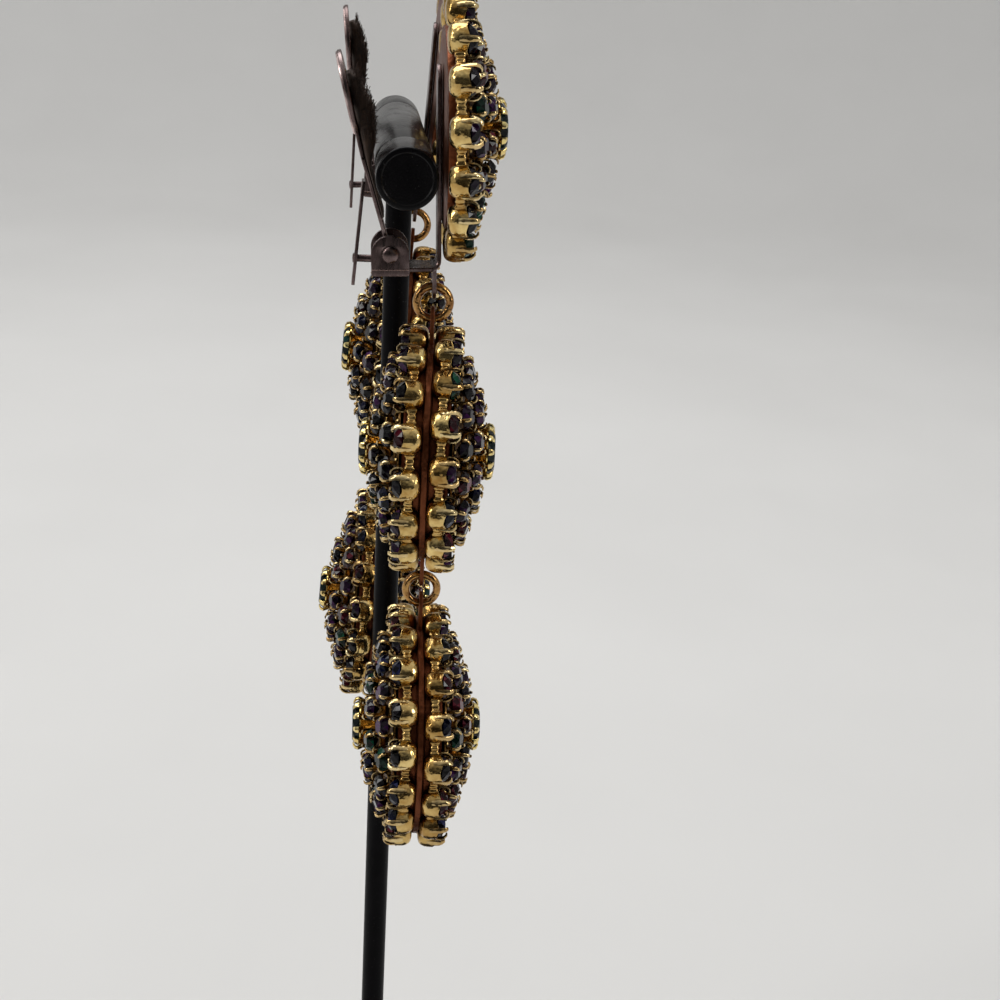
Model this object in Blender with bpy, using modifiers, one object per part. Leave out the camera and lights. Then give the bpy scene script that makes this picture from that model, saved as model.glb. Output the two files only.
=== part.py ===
"""Pair of clip-on chandelier earrings on a T-bar display stand.

Each earring has a domed cluster of stones on a sprung clip, and two double drops
that hang from it on jump rings. Units are metres, +Z is up, the earrings' fronts face -Y,
and the origin is the middle of the stand's underside.

In the measures below "front" is the distance in front of the crossbar's axis, towards -Y.
"""

from math import asin, atan2, cos, hypot, pi, radians, sin, tan

import bmesh
import bpy
from mathutils import Matrix, Vector

MM = 0.001
WELD = 0.00001
FINE_WELD = 0.000001

# Air between pieces that touch on the real thing
FIT = 0.25 * MM
PAD_FIT = 0.15 * MM

# Display stand
BASE_RADIUS = 40.0 * MM
BASE_HEIGHT = 5.0 * MM
BASE_EDGE = 1.2 * MM
ROD_RADIUS = 1.75 * MM
BAR_RADIUS = 3.6 * MM
BAR_LENGTH = 60.6 * MM
BAR_HEIGHT = 185.0 * MM
BAR_CAP_LENGTH = 9.6 * MM
BAR_CAP_EDGE = 0.3 * MM
BASE_SIDES = 40
ROD_SIDES = 12
BAR_SIDES = 24

# Cup settings with their stones, in the outer ring of every cluster
CLUSTER = {"radius": 15.95 * MM, "cups": 16}
LOWER_CLUSTER = {"radius": 16.5 * MM, "cups": 17}
CUP_RADIUS = 1.95 * MM
CUP_SIDES = 8
CUP_FOOT_RADIUS = 1.05 * MM
CUP_BOWL_DEPTH = 0.8 * MM
CUP_WALL_DEPTH = 1.65 * MM
STONE_RISE = 1.1 * MM
STONE_TABLE_RADIUS = 1.1 * MM

# How far each outer ring is turned in its cluster, seen from its own stones
RING_TURN = {
    "top": radians(-4.5),
    "middle_front": radians(-7.0),
    "middle_back": radians(0.0),
    "lower_front": radians(5.0),
    "lower_back": radians(-8.5),
}

# Stepped tiers inside the outer ring, heights above the cup's rim
TIER_SIDES = 12
TIER_BACK = 0.3 * MM
TIER_EDGE_AIR = 0.05 * MM
TIER_EDGE_TAPER = 0.3 * MM
TIER_EDGE_RISE = 1.7 * MM
TIER_LOW_RISE = 2.9 * MM
TIER_HIGH_RISE = 4.3 * MM
TIER_EDGE_SLOPE = 1.1 * MM
TIER_STEP_RADIUS = 7.9 * MM
TIER_HIGH_RADIUS = 6.9 * MM
TIER_PIT_RIM = 4.4 * MM
TIER_PIT_FLOOR = 2.5 * MM
TIER_PIT_RISE = 2.4 * MM

# Middle stone in its flared setting
CENTRE_SIDES = 10
CENTRE_FOOT_RADIUS = 1.9 * MM
CENTRE_RADIUS = 3.45 * MM
CENTRE_TABLE_RADIUS = 2.35 * MM
CENTRE_FLARE = 2.2 * MM
CENTRE_CROWN = 0.95 * MM

# Flat strips with a hole, that the jump rings pass through
STRIP_THICKNESS = 0.5 * MM
STRIP_AIR = 0.2 * MM
TAB_WIDTH = 3.0 * MM
TAB_HOLE_WIDTH = 1.9 * MM
TAB_HOLE_HEIGHT = 2.0 * MM
TAB_HOLE_SIDES = 8
TAB_END = 0.65 * MM
TAB_ROOT = 1.5 * MM

# Jump rings
LINK_RADIUS = 2.05 * MM
LINK_WIRE_RADIUS = 0.55 * MM
LINK_SEGMENTS = 12
LINK_WIRE_SIDES = 6

# Chain of drops, from a cluster's edge to the middle of the jump ring above or below it
LINK_ABOVE_MIDDLE = 3.15 * MM
LINK_BELOW_MIDDLE = 3.55 * MM
LINK_ABOVE_LOWER = 3.7 * MM

# Clip, heights from the hinge pin's axis
PIN_BEHIND_BAR = 1.85 * MM
PIN_RADIUS = 0.6 * MM
PIN_HEAD_RADIUS = 1.0 * MM
PIN_HEAD = 0.45 * MM
PIN_SIDES = 8
CHEEK_RADIUS = 2.3 * MM
CHEEK_THICKNESS = 0.5 * MM
CHEEK_SPACING = 4.6 * MM
CHEEK_DEPTH = 2.65 * MM
CHEEK_ARC_STEPS = 8
FLOOR_TOP_DEPTH = 1.65 * MM
FLOOR_NOTCH = 0.9 * MM
PLATE_WIDTH = 4.0 * MM
PLATE_ARC_STEPS = 6
PLATE_RISE = 22.0 * MM
TOP_CENTRE_RISE = 14.65 * MM
TOP_SINK = 0.6 * MM
LINK_DEPTH = 6.45 * MM
TAB_SET_BACK = 0.55 * MM

# Lever, measured along its arm from the hinge pin
LEVER_THICKNESS = 0.5 * MM
LEVER_FOOT_WIDTH = 3.4 * MM
LEVER_ARM_WIDTH = 4.6 * MM
LEVER_ARM = 12.0 * MM
LEVER_BARREL_RADIUS = 1.25 * MM
PADDLE_REACH = 12.2 * MM
PADDLE_LENGTH = 10.4 * MM
PADDLE_WIDTH = 9.0 * MM
PADDLE_LAP = 1.0 * MM
PADDLE_STEPS = 10
PADDLE_HOLE_RADIUS = 0.9 * MM
PADDLE_HOLE_ACROSS = 2.9 * MM
PADDLE_HOLE_ALONG = 3.1 * MM
PADDLE_HOLES = 4
PADDLE_HOLE_SIDES = 6

# Cushion on the lever: how far up the arm, and how far it stands off the lever there
PAD_WIDTH = 6.6 * MM
PAD_AT_BAR = 0.35 * MM
PAD_LOW_END = 4.5 * MM
PAD_THIN_END = 10.6 * MM
PAD_THICK_START = 13.0 * MM
PAD_THICK_MIDDLE = 17.0 * MM
PAD_HIGH_END = 21.5 * MM
PAD_START_STAND = 1.6 * MM
PAD_MIDDLE_STAND = 2.2 * MM
PAD_END_STAND = 0.9 * MM
PAD_FRONT = (
    {"along": PAD_LOW_END, "stand": PAD_AT_BAR},
    {"along": PAD_THIN_END, "stand": PAD_AT_BAR},
    {"along": PAD_THICK_START, "stand": PAD_START_STAND},
    {"along": PAD_THICK_MIDDLE, "stand": PAD_MIDDLE_STAND},
    {"along": PAD_HIGH_END, "stand": PAD_END_STAND},
)

# Flat spring outside the lever, "out" from the arm's middle and "along" it from the hinge pin
SPRING_WIDTH = 3.0 * MM
SPRING_THICKNESS = 0.45 * MM
SPRING_TOP = {"out": 0.72 * MM, "along": 9.0 * MM}
SPRING_FOOT = {"out": 5.45 * MM, "along": -2.7 * MM}
SPRING_PEG_UP = 3.15 * MM
SPRING_PEG_LENGTH = 2.75 * MM
SPRING_PEG_SLOPE = radians(17.5)
SPRING_PEG_RADIUS = 0.45 * MM
SPRING_PEG_SIDES = 8

# Where each earring sits on the crossbar: side, hinge pin below the bar, lean of the clip,
# how far its paddle is bent inward, lean of both drops and twist of the middle one
LEFT_PIN_DEPTH = 10.3 * MM
RIGHT_PIN_DEPTH = 7.0 * MM
EARRINGS = (
    {
        "name": "left",
        "side": -1,
        "pin_depth": LEFT_PIN_DEPTH,
        "lean": radians(-2.2),
        "paddle_bend": radians(3.0),
        "swing": radians(0.0),
        "twist": radians(-4.0),
    },
    {
        "name": "right",
        "side": 1,
        "pin_depth": RIGHT_PIN_DEPTH,
        "lean": radians(3.0),
        "paddle_bend": radians(15.0),
        "swing": radians(4.0),
        "twist": radians(0.0),
    },
)
ROD_CLEARANCE = 0.35 * MM

# Sizes that follow from the ones above
HANG_FRONT = BAR_RADIUS + FIT + STRIP_THICKNESS / 2
EARRING_OFFSET = ROD_RADIUS + ROD_CLEARANCE + max(CLUSTER["radius"], LOWER_CLUSTER["radius"])
LINK_TO_MIDDLE = CLUSTER["radius"] + LINK_ABOVE_MIDDLE
MIDDLE_TO_LINK = CLUSTER["radius"] + LINK_BELOW_MIDDLE
LINK_TO_LOWER = LOWER_CLUSTER["radius"] + LINK_ABOVE_LOWER
CUP_BACK = STRIP_THICKNESS / 2 + STRIP_AIR
CUP_BOWL_TOP = CUP_BACK + CUP_BOWL_DEPTH
CUP_RIM = CUP_BOWL_TOP + CUP_WALL_DEPTH
STONE_TOP = CUP_RIM + STONE_RISE
TIER_BOTTOM = CUP_RIM + TIER_BACK
DRUM_HALF = TIER_BOTTOM - FIT
CENTRE_BOTTOM = CUP_RIM + TIER_PIT_RISE + FIT
PIN_HOLE_RADIUS = PIN_RADIUS + FIT
FLOOR_BOTTOM_DEPTH = FLOOR_TOP_DEPTH + STRIP_THICKNESS
LINK_TOP_DEPTH = LINK_DEPTH - LINK_RADIUS
CHEEK_OUTSIDE = CHEEK_SPACING / 2 + CHEEK_THICKNESS
LEVER_STAND_OFF = BAR_RADIUS + PAD_FIT + PAD_AT_BAR + PAD_FIT + LEVER_THICKNESS / 2

FACING_FRONT = Matrix.Rotation(pi / 2, 4, "X")
FACING_BACK = Matrix.Rotation(pi, 4, "Z") @ FACING_FRONT
ALONG_X = Matrix.Rotation(pi / 2, 4, "Y")
UPRIGHT = FACING_FRONT
SIDEWAYS = Matrix.Rotation(pi / 2, 4, "Z") @ UPRIGHT


def clear_scene():
    for obj in list(bpy.data.objects):
        bpy.data.objects.remove(obj, do_unlink=True)


def new_collection(name):
    collection = bpy.data.collections.new(name)
    bpy.context.scene.collection.children.link(collection)
    return collection


def new_material(name, colour, metallic, roughness):
    material = bpy.data.materials.new(name)
    material.use_nodes = True
    shader = material.node_tree.nodes["Principled BSDF"]
    shader.inputs["Base Color"].default_value = (*colour, 1.0)
    shader.inputs["Metallic"].default_value = metallic
    shader.inputs["Roughness"].default_value = roughness
    material.diffuse_color = (*colour, 1.0)
    return material


def evaluated_mesh(obj):
    """Mesh of an object with its modifiers applied; the object itself is removed."""
    graph = bpy.context.evaluated_depsgraph_get()
    mesh = bpy.data.meshes.new_from_object(obj.evaluated_get(graph))
    bpy.data.objects.remove(obj, do_unlink=True)
    return mesh


def temporary_object(data):
    obj = bpy.data.objects.new("temporary", data)
    bpy.context.scene.collection.objects.link(obj)
    return obj


def turned_mesh(profile, sides):
    """Solid turned round Z from (radius, height) points that run down its outer side."""
    line = bpy.data.meshes.new("profile")
    points = [(radius, 0.0, height) for radius, height in profile]
    line.from_pydata(points, [(i, i + 1) for i in range(len(points) - 1)], [])
    obj = temporary_object(line)
    screw = obj.modifiers.new("turn", "SCREW")
    screw.axis = "Z"
    screw.steps = sides
    screw.render_steps = sides
    screw.use_merge_vertices = True
    screw.merge_threshold = WELD
    mesh = evaluated_mesh(obj)
    body = bmesh.new()
    body.from_mesh(mesh)
    on_axis = [v for v in body.verts if hypot(v.co.x, v.co.y) < WELD]
    bmesh.ops.dissolve_verts(body, verts=on_axis)
    body.to_mesh(mesh)
    body.free()
    return mesh


def flat_mesh(loops, thickness, placing):
    """Plate cut to closed loops of (x, y) points, the first one outside, then put in place."""
    curve = bpy.data.curves.new("outline", "CURVE")
    curve.dimensions = "2D"
    curve.fill_mode = "BOTH"
    curve.extrude = thickness / 2
    for loop in loops:
        spline = curve.splines.new("POLY")
        spline.points.add(len(loop) - 1)
        for point, (x, y) in zip(spline.points, loop):
            point.co = (x, y, 0.0, 1.0)
        spline.use_cyclic_u = True
    mesh = evaluated_mesh(temporary_object(curve))
    body = bmesh.new()
    body.from_mesh(mesh)
    bmesh.ops.remove_doubles(body, verts=body.verts, dist=WELD)
    bmesh.ops.recalc_face_normals(body, faces=body.faces)
    body.to_mesh(mesh)
    body.free()
    mesh.transform(placing)
    return mesh


def box_mesh(low, high):
    body = bmesh.new()
    size = Vector(high) - Vector(low)
    middle = (Vector(high) + Vector(low)) / 2
    bmesh.ops.create_cube(body, size=1.0, matrix=Matrix.Translation(middle) @ Matrix.Diagonal((*size, 1.0)))
    mesh = bpy.data.meshes.new("box")
    body.to_mesh(mesh)
    body.free()
    return mesh


def cylinder_mesh(radius, length, sides, placing):
    body = bmesh.new()
    bmesh.ops.create_cone(
        body, cap_ends=True, segments=sides, radius1=radius, radius2=radius, depth=length, matrix=placing
    )
    mesh = bpy.data.meshes.new("cylinder")
    body.to_mesh(mesh)
    body.free()
    return mesh


def combined(mesh, other, operation):
    """Result of a Boolean between two meshes."""
    base = temporary_object(mesh)
    tool = temporary_object(other)
    change = base.modifiers.new("combine", "BOOLEAN")
    change.operation = operation
    change.solver = "EXACT"
    change.object = tool
    result = evaluated_mesh(base)
    bpy.data.objects.remove(tool, do_unlink=True)
    body = bmesh.new()
    body.from_mesh(result)
    bmesh.ops.remove_doubles(body, verts=body.verts, dist=FINE_WELD)
    body.to_mesh(result)
    body.free()
    return result


def arc(centre, radius, start, end, steps):
    """Points of an arc in the plane, both ends among them."""
    turns = [start + (end - start) * i / steps for i in range(steps + 1)]
    return [(centre[0] + radius * cos(t), centre[1] + radius * sin(t)) for t in turns]


def add_part(name, mesh, material, parent, placing=Matrix.Identity(4)):
    obj = bpy.data.objects.new(name, mesh)
    PARTS.objects.link(obj)
    obj.parent = parent
    obj.matrix_local = placing
    mesh.materials.clear()
    mesh.materials.append(material)
    mesh.shade_smooth()
    mesh.set_sharp_from_angle(angle=radians(30.0))
    return obj


def add_frame(name, placing, parent=None):
    frame = bpy.data.objects.new(name, None)
    PARTS.objects.link(frame)
    frame.parent = parent
    frame.matrix_local = placing
    frame.empty_display_size = 5 * MM
    return frame


def at(side, front, height):
    """Translation in an earring's own frame."""
    return Matrix.Translation((side, -front, height))


def make_stand(material):
    base = turned_mesh(
        (
            (0.0, BASE_HEIGHT),
            (BASE_RADIUS - BASE_EDGE, BASE_HEIGHT),
            (BASE_RADIUS, BASE_HEIGHT - BASE_EDGE),
            (BASE_RADIUS, 0.0),
            (0.0, 0.0),
        ),
        BASE_SIDES,
    )
    add_part("stand_base", base, material, None)

    rod_bottom = BASE_HEIGHT + FIT
    rod_top = BAR_HEIGHT - BAR_RADIUS - FIT
    middle = Matrix.Translation((0.0, 0.0, (rod_top + rod_bottom) / 2))
    rod = cylinder_mesh(ROD_RADIUS, rod_top - rod_bottom, ROD_SIDES, Matrix.Identity(4))
    add_part("stand_rod", rod, material, None, middle)

    axis = Matrix.Translation((0.0, 0.0, BAR_HEIGHT))
    tube_length = BAR_LENGTH - 2 * BAR_CAP_LENGTH - 2 * FIT
    tube = cylinder_mesh(BAR_RADIUS, tube_length, BAR_SIDES, ALONG_X)
    add_part("stand_crossbar", tube, material, None, axis)
    cap = turned_mesh(
        (
            (0.0, BAR_CAP_LENGTH),
            (BAR_RADIUS - BAR_CAP_EDGE, BAR_CAP_LENGTH),
            (BAR_RADIUS, BAR_CAP_LENGTH - BAR_CAP_EDGE),
            (BAR_RADIUS, 0.0),
            (0.0, 0.0),
        ),
        BAR_SIDES,
    )
    cap_start = BAR_LENGTH / 2 - BAR_CAP_LENGTH
    for earring in EARRINGS:
        side = earring["side"]
        outward = Matrix.Rotation(side * pi / 2, 4, "Y") @ Matrix.Translation((0.0, 0.0, cap_start))
        add_part("stand_cap_" + earring["name"], cap.copy(), material, None, axis @ outward)


def cup_mesh():
    """One cup setting with a cut stone in it, standing on Z at the origin."""
    across_corners = 1.0 / cos(pi / CUP_SIDES)
    return turned_mesh(
        (
            (0.0, STONE_TOP),
            (STONE_TABLE_RADIUS * across_corners, STONE_TOP),
            (CUP_RADIUS * across_corners, CUP_RIM),
            (CUP_RADIUS * across_corners, CUP_BOWL_TOP),
            (CUP_FOOT_RADIUS * across_corners, CUP_BACK),
            (0.0, CUP_BACK),
        ),
        CUP_SIDES,
    )


def wall_facing(faces, direction):
    """The flat wall of a cup that looks in a direction."""
    return max(faces, key=lambda face: face.normal.dot(direction))


def inside_cups(cluster):
    """Radius of the space inside the outer ring of cups."""
    return cluster["radius"] - 2 * CUP_RADIUS


def stone_ring_mesh(cluster):
    """Ring of cup settings, each joined to its neighbours by a short bar."""
    cup = cup_mesh()
    cups = cluster["cups"]
    body = bmesh.new()
    ends = []
    for index in range(cups):
        turn = Matrix.Rotation(2 * pi * index / cups, 4, "Z")
        half_facet = Matrix.Rotation(pi / CUP_SIDES, 4, "Z")
        place = turn @ Matrix.Translation((cluster["radius"] - CUP_RADIUS, 0.0, 0.0)) @ half_facet
        before = set(body.verts)
        faces_before = set(body.faces)
        body.from_mesh(cup)
        added = [v for v in body.verts if v not in before]
        bmesh.ops.transform(body, matrix=place, verts=added)
        faces = [f for f in body.faces if f not in faces_before]
        for face in faces:
            face.normal_update()
        forward = turn @ Vector((0.0, 1.0, 0.0))
        ends.append((wall_facing(faces, forward), wall_facing(faces, -forward)))
    for index in range(cups):
        leaving = ends[index][0]
        arriving = ends[(index + 1) % cups][1]
        edges = list(leaving.edges) + list(arriving.edges)
        bmesh.ops.delete(body, geom=[leaving, arriving], context="FACES_ONLY")
        bmesh.ops.bridge_loops(body, edges=edges)
    bmesh.ops.recalc_face_normals(body, faces=body.faces)
    mesh = bpy.data.meshes.new("stone_ring")
    body.to_mesh(mesh)
    body.free()
    return mesh


def tiers_mesh(cluster):
    """Two stepped tiers round the pit that holds the middle setting."""
    edge = inside_cups(cluster) - TIER_EDGE_AIR
    return turned_mesh(
        (
            (0.0, CUP_RIM + TIER_PIT_RISE),
            (TIER_PIT_FLOOR, CUP_RIM + TIER_PIT_RISE),
            (TIER_PIT_RIM, CUP_RIM + TIER_HIGH_RISE),
            (TIER_HIGH_RADIUS, CUP_RIM + TIER_HIGH_RISE),
            (TIER_STEP_RADIUS, CUP_RIM + TIER_LOW_RISE),
            (edge - TIER_EDGE_SLOPE, CUP_RIM + TIER_LOW_RISE),
            (edge, CUP_RIM + TIER_EDGE_RISE),
            (edge - TIER_EDGE_TAPER, TIER_BOTTOM),
            (0.0, TIER_BOTTOM),
        ),
        TIER_SIDES,
    )


def centre_mesh():
    """Middle stone, cut with a table, in a setting that flares towards it."""
    return turned_mesh(
        (
            (0.0, CENTRE_BOTTOM + CENTRE_FLARE + CENTRE_CROWN),
            (CENTRE_TABLE_RADIUS, CENTRE_BOTTOM + CENTRE_FLARE + CENTRE_CROWN),
            (CENTRE_RADIUS, CENTRE_BOTTOM + CENTRE_FLARE),
            (CENTRE_FOOT_RADIUS, CENTRE_BOTTOM),
            (0.0, CENTRE_BOTTOM),
        ),
        CENTRE_SIDES,
    )


def tab_end(hole_height, direction):
    """Rounded end of a hanging strip, from its right shoulder round to its left one, and its hole."""
    half = TAB_WIDTH / 2
    hole_end = hole_height + direction * TAB_HOLE_HEIGHT / 2
    shoulder = hole_end - direction * TAB_END / 2
    tip = hole_end + direction * TAB_END
    end = [(half, shoulder), (half / 2, tip), (-half / 2, tip), (-half, shoulder)]
    across_corners = 1.0 / cos(pi / TAB_HOLE_SIDES)
    turns = [2 * pi * (i + 0.5) / TAB_HOLE_SIDES for i in range(TAB_HOLE_SIDES)]
    half_width = TAB_HOLE_WIDTH / 2 * across_corners
    half_height = TAB_HOLE_HEIGHT / 2 * across_corners
    hole = [(half_width * cos(turn), hole_height + half_height * sin(turn)) for turn in turns]
    return end, hole


def tab_mesh(root, hole_height, direction):
    """Flat strip with a hole for a jump ring; it runs up (1) or down (-1) from its root."""
    end, hole = tab_end(hole_height, direction)
    outside = [(-TAB_WIDTH / 2, root), (TAB_WIDTH / 2, root)] + end
    return flat_mesh([outside, hole], STRIP_THICKNESS, UPRIGHT)


def core_mesh(cluster, tabs):
    """Drum between the two halves of a drop, with its hanging strips."""
    flat_up = Matrix.Rotation(pi / TIER_SIDES, 4, "Z")
    radius = inside_cups(cluster) - FIT
    mesh = cylinder_mesh(radius, 2 * DRUM_HALF, TIER_SIDES, UPRIGHT @ flat_up)
    for height, direction in tabs:
        root = direction * (radius - TAB_ROOT)
        mesh = combined(mesh, tab_mesh(root, height, direction), "UNION")
    return mesh


def link_mesh():
    """Jump ring in the plane across X, its upper wire at the origin."""
    body = bmesh.new()
    wire = bmesh.ops.create_circle(
        body, segments=LINK_WIRE_SIDES, radius=LINK_WIRE_RADIUS, matrix=Matrix.Translation((LINK_RADIUS, 0, 0))
        @ Matrix.Rotation(pi / 2, 4, "X")
    )
    geometry = wire["verts"] + list({e for v in wire["verts"] for e in v.link_edges})
    bmesh.ops.spin(
        body, geom=geometry, cent=(0, 0, 0), axis=(0, 0, 1), angle=2 * pi, steps=LINK_SEGMENTS,
        use_merge=True, use_duplicate=False
    )
    bmesh.ops.remove_doubles(body, verts=body.verts, dist=WELD)
    bmesh.ops.recalc_face_normals(body, faces=body.faces)
    mesh = bpy.data.meshes.new("link")
    body.to_mesh(mesh)
    body.free()
    mesh.transform(Matrix.Translation((0.0, 0.0, -LINK_RADIUS)) @ ALONG_X)
    return mesh


def add_half(prefix, cluster, frame, facing, turn, sink):
    """One domed half: outer ring of stones, stepped tiers and middle stone."""
    ring_turn = Matrix.Rotation(turn, 4, "Z")
    lowered = Matrix.Translation((0.0, 0.0, -sink))
    half_side = Matrix.Rotation(pi / TIER_SIDES, 4, "Z")
    add_part(prefix + "_stones", stone_ring_mesh(cluster), GOLD, frame, facing @ ring_turn)
    add_part(prefix + "_tiers", tiers_mesh(cluster), AMETHYST, frame, facing @ lowered @ half_side)
    add_part(prefix + "_centre", centre_mesh(), JET, frame, facing @ lowered)


def add_drop(name, place, cluster, frame, height, twist, tabs):
    """Double-sided drop whose middle is at a height in its frame, turned about the line it hangs on."""
    prefix = name + "_" + place
    turned = Matrix.Translation((0.0, 0.0, height)) @ Matrix.Rotation(twist, 4, "Z")
    middle = add_frame(prefix + "_point", turned, frame)
    add_part(prefix + "_core", core_mesh(cluster, tabs), OLD_GOLD, middle)
    for half, facing in (("front", FACING_FRONT), ("back", FACING_BACK)):
        turn = RING_TURN[place + "_" + half]
        add_half(prefix + "_" + half, cluster, middle, facing, turn, 0.0)


def clip_base_mesh(pin_depth):
    """Back plate, hinge box and hanging strip, in a frame on the crossbar's axis."""
    plate_front = HANG_FRONT + STRIP_THICKNESS / 2
    plate_back = HANG_FRONT - STRIP_THICKNESS / 2
    floor_top = -pin_depth - FLOOR_TOP_DEPTH
    floor_bottom = -pin_depth - FLOOR_BOTTOM_DEPTH
    notch = PIN_BEHIND_BAR - FLOOR_NOTCH

    half = PLATE_WIDTH / 2
    plate_top = -pin_depth + PLATE_RISE
    plate_low = floor_bottom + STRIP_THICKNESS / 4
    rounded = arc((0.0, plate_top - half), half, pi, 0.0, PLATE_ARC_STEPS)
    outline = [(half, plate_low), (-half, plate_low)] + rounded
    plate_place = Matrix.Translation((0.0, -HANG_FRONT, 0.0)) @ UPRIGHT
    mesh = flat_mesh([outline], STRIP_THICKNESS, plate_place)

    floor_front = -(plate_front + plate_back) / 2
    floor = box_mesh((-CHEEK_OUTSIDE, floor_front, floor_bottom), (CHEEK_OUTSIDE, notch, floor_top))
    mesh = combined(mesh, floor, "UNION")
    tab = tab_mesh((floor_top + floor_bottom) / 2, -pin_depth - LINK_TOP_DEPTH, -1)
    tab.transform(Matrix.Translation((0.0, TAB_SET_BACK - HANG_FRONT, 0.0)))
    mesh = combined(mesh, tab, "UNION")
    for side in (-1, 1):
        x = side * (CHEEK_SPACING + CHEEK_THICKNESS) / 2
        rounded = arc((PIN_BEHIND_BAR, -pin_depth), CHEEK_RADIUS, 0.0, pi, CHEEK_ARC_STEPS)
        low = -pin_depth - CHEEK_DEPTH
        cheek = [(PIN_BEHIND_BAR - CHEEK_RADIUS, low), (PIN_BEHIND_BAR + CHEEK_RADIUS, low)] + rounded
        hole = arc((PIN_BEHIND_BAR, -pin_depth), PIN_HOLE_RADIUS / cos(pi / PIN_SIDES), 0, 2 * pi, PIN_SIDES)
        plate = flat_mesh([cheek, hole[:-1]], CHEEK_THICKNESS, Matrix.Translation((x, 0.0, 0.0)) @ SIDEWAYS)
        mesh = combined(mesh, plate, "UNION")

    return mesh


def pin_mesh():
    """Riveted hinge pin along X."""
    head = CHEEK_OUTSIDE + FIT
    end = head + PIN_HEAD
    profile = (
        (0.0, end),
        (PIN_HEAD_RADIUS, end),
        (PIN_HEAD_RADIUS, head),
        (PIN_RADIUS, head),
        (PIN_RADIUS, -head),
        (PIN_HEAD_RADIUS, -head),
        (PIN_HEAD_RADIUS, -end),
        (0.0, -end),
    )
    mesh = turned_mesh(profile, PIN_SIDES)
    mesh.transform(ALONG_X)
    return mesh


def lever_mesh(paddle_bend):
    """Arm, pierced paddle and hinge barrel, upright on the pin's axis, outside towards +Y."""
    foot = LEVER_FOOT_WIDTH / 2
    arm_half = LEVER_ARM_WIDTH / 2
    start = (PIN_HOLE_RADIUS + LEVER_BARREL_RADIUS) / 2
    arm = [(-foot, start), (foot, start), (arm_half, LEVER_ARM), (-arm_half, LEVER_ARM)]
    mesh = flat_mesh([arm], LEVER_THICKNESS, UPRIGHT)

    centre = PADDLE_REACH - PADDLE_LENGTH / 2
    neck = asin(LEVER_ARM_WIDTH / PADDLE_WIDTH)
    turns = [neck - pi / 2 + (2 * pi - 2 * neck) * i / PADDLE_STEPS for i in range(PADDLE_STEPS + 1)]
    oval = [(PADDLE_WIDTH / 2 * cos(t), centre + PADDLE_LENGTH / 2 * sin(t)) for t in turns]
    loops = [[(-arm_half, -PADDLE_LAP), (arm_half, -PADDLE_LAP)] + oval]
    for index in range(PADDLE_HOLES):
        turn = 2 * pi * (index + 0.5) / PADDLE_HOLES
        middle = (PADDLE_HOLE_ACROSS * cos(turn), centre + PADDLE_HOLE_ALONG * sin(turn))
        loops.append(arc(middle, PADDLE_HOLE_RADIUS, turn, turn + 2 * pi, PADDLE_HOLE_SIDES)[:-1])
    bend = Matrix.Translation((0.0, 0.0, LEVER_ARM)) @ Matrix.Rotation(paddle_bend, 4, "X")
    mesh = combined(mesh, flat_mesh(loops, LEVER_THICKNESS, bend @ UPRIGHT), "UNION")

    barrel_length = CHEEK_SPACING - 2 * FIT
    barrel = cylinder_mesh(LEVER_BARREL_RADIUS, barrel_length, PIN_SIDES, ALONG_X)
    mesh = combined(mesh, barrel, "UNION")
    bore_radius = PIN_HOLE_RADIUS / cos(pi / PIN_SIDES)
    bore = cylinder_mesh(bore_radius, 2 * CHEEK_SPACING, PIN_SIDES, ALONG_X)
    return combined(mesh, bore, "DIFFERENCE")


def pad_mesh(paddle_bend):
    """Cushion on the inside of the lever; it follows the paddle's bend."""
    def lever_face(along):
        beyond = max(0.0, along - LEVER_ARM)
        return -LEVER_THICKNESS / 2 / cos(paddle_bend) - PAD_FIT - beyond * tan(paddle_bend)

    back = [PAD_FRONT[-1]["along"], LEVER_ARM, PAD_FRONT[0]["along"]]
    outline = [(lever_face(row["along"]) - row["stand"], row["along"]) for row in PAD_FRONT]
    outline += [(lever_face(along), along) for along in back]
    return flat_mesh([outline], PAD_WIDTH, SIDEWAYS)


def spring_mesh():
    """Flat strip behind the lever, with the peg that holds it beside the hinge."""
    foot = Vector((0.0, SPRING_FOOT["out"], SPRING_FOOT["along"]))
    top = Vector((0.0, SPRING_TOP["out"], SPRING_TOP["along"]))
    length = (top - foot).length
    lean = atan2(foot.y - top.y, top.z - foot.z)
    half_width = SPRING_WIDTH / 2
    half = SPRING_THICKNESS / 2
    strip = box_mesh((-half_width, -half, 0.0), (half_width, half, length))
    strip.transform(Matrix.Translation(foot) @ Matrix.Rotation(lean, 4, "X"))
    joint = foot + (top - foot).normalized() * SPRING_PEG_UP
    inward = Matrix.Rotation(SPRING_PEG_SLOPE, 4, "X")
    middle = Matrix.Translation((0.0, -SPRING_PEG_LENGTH / 2, 0.0))
    place = Matrix.Translation(joint) @ inward @ middle @ UPRIGHT
    peg = cylinder_mesh(SPRING_PEG_RADIUS, SPRING_PEG_LENGTH, SPRING_PEG_SIDES, place)
    return combined(strip, peg, "UNION")


def lever_angle(pin_depth):
    """Lean of the lever from upright when its cushion bears on the crossbar."""
    reach = hypot(PIN_BEHIND_BAR, pin_depth)
    return asin(LEVER_STAND_OFF / reach) - atan2(PIN_BEHIND_BAR, pin_depth)


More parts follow.
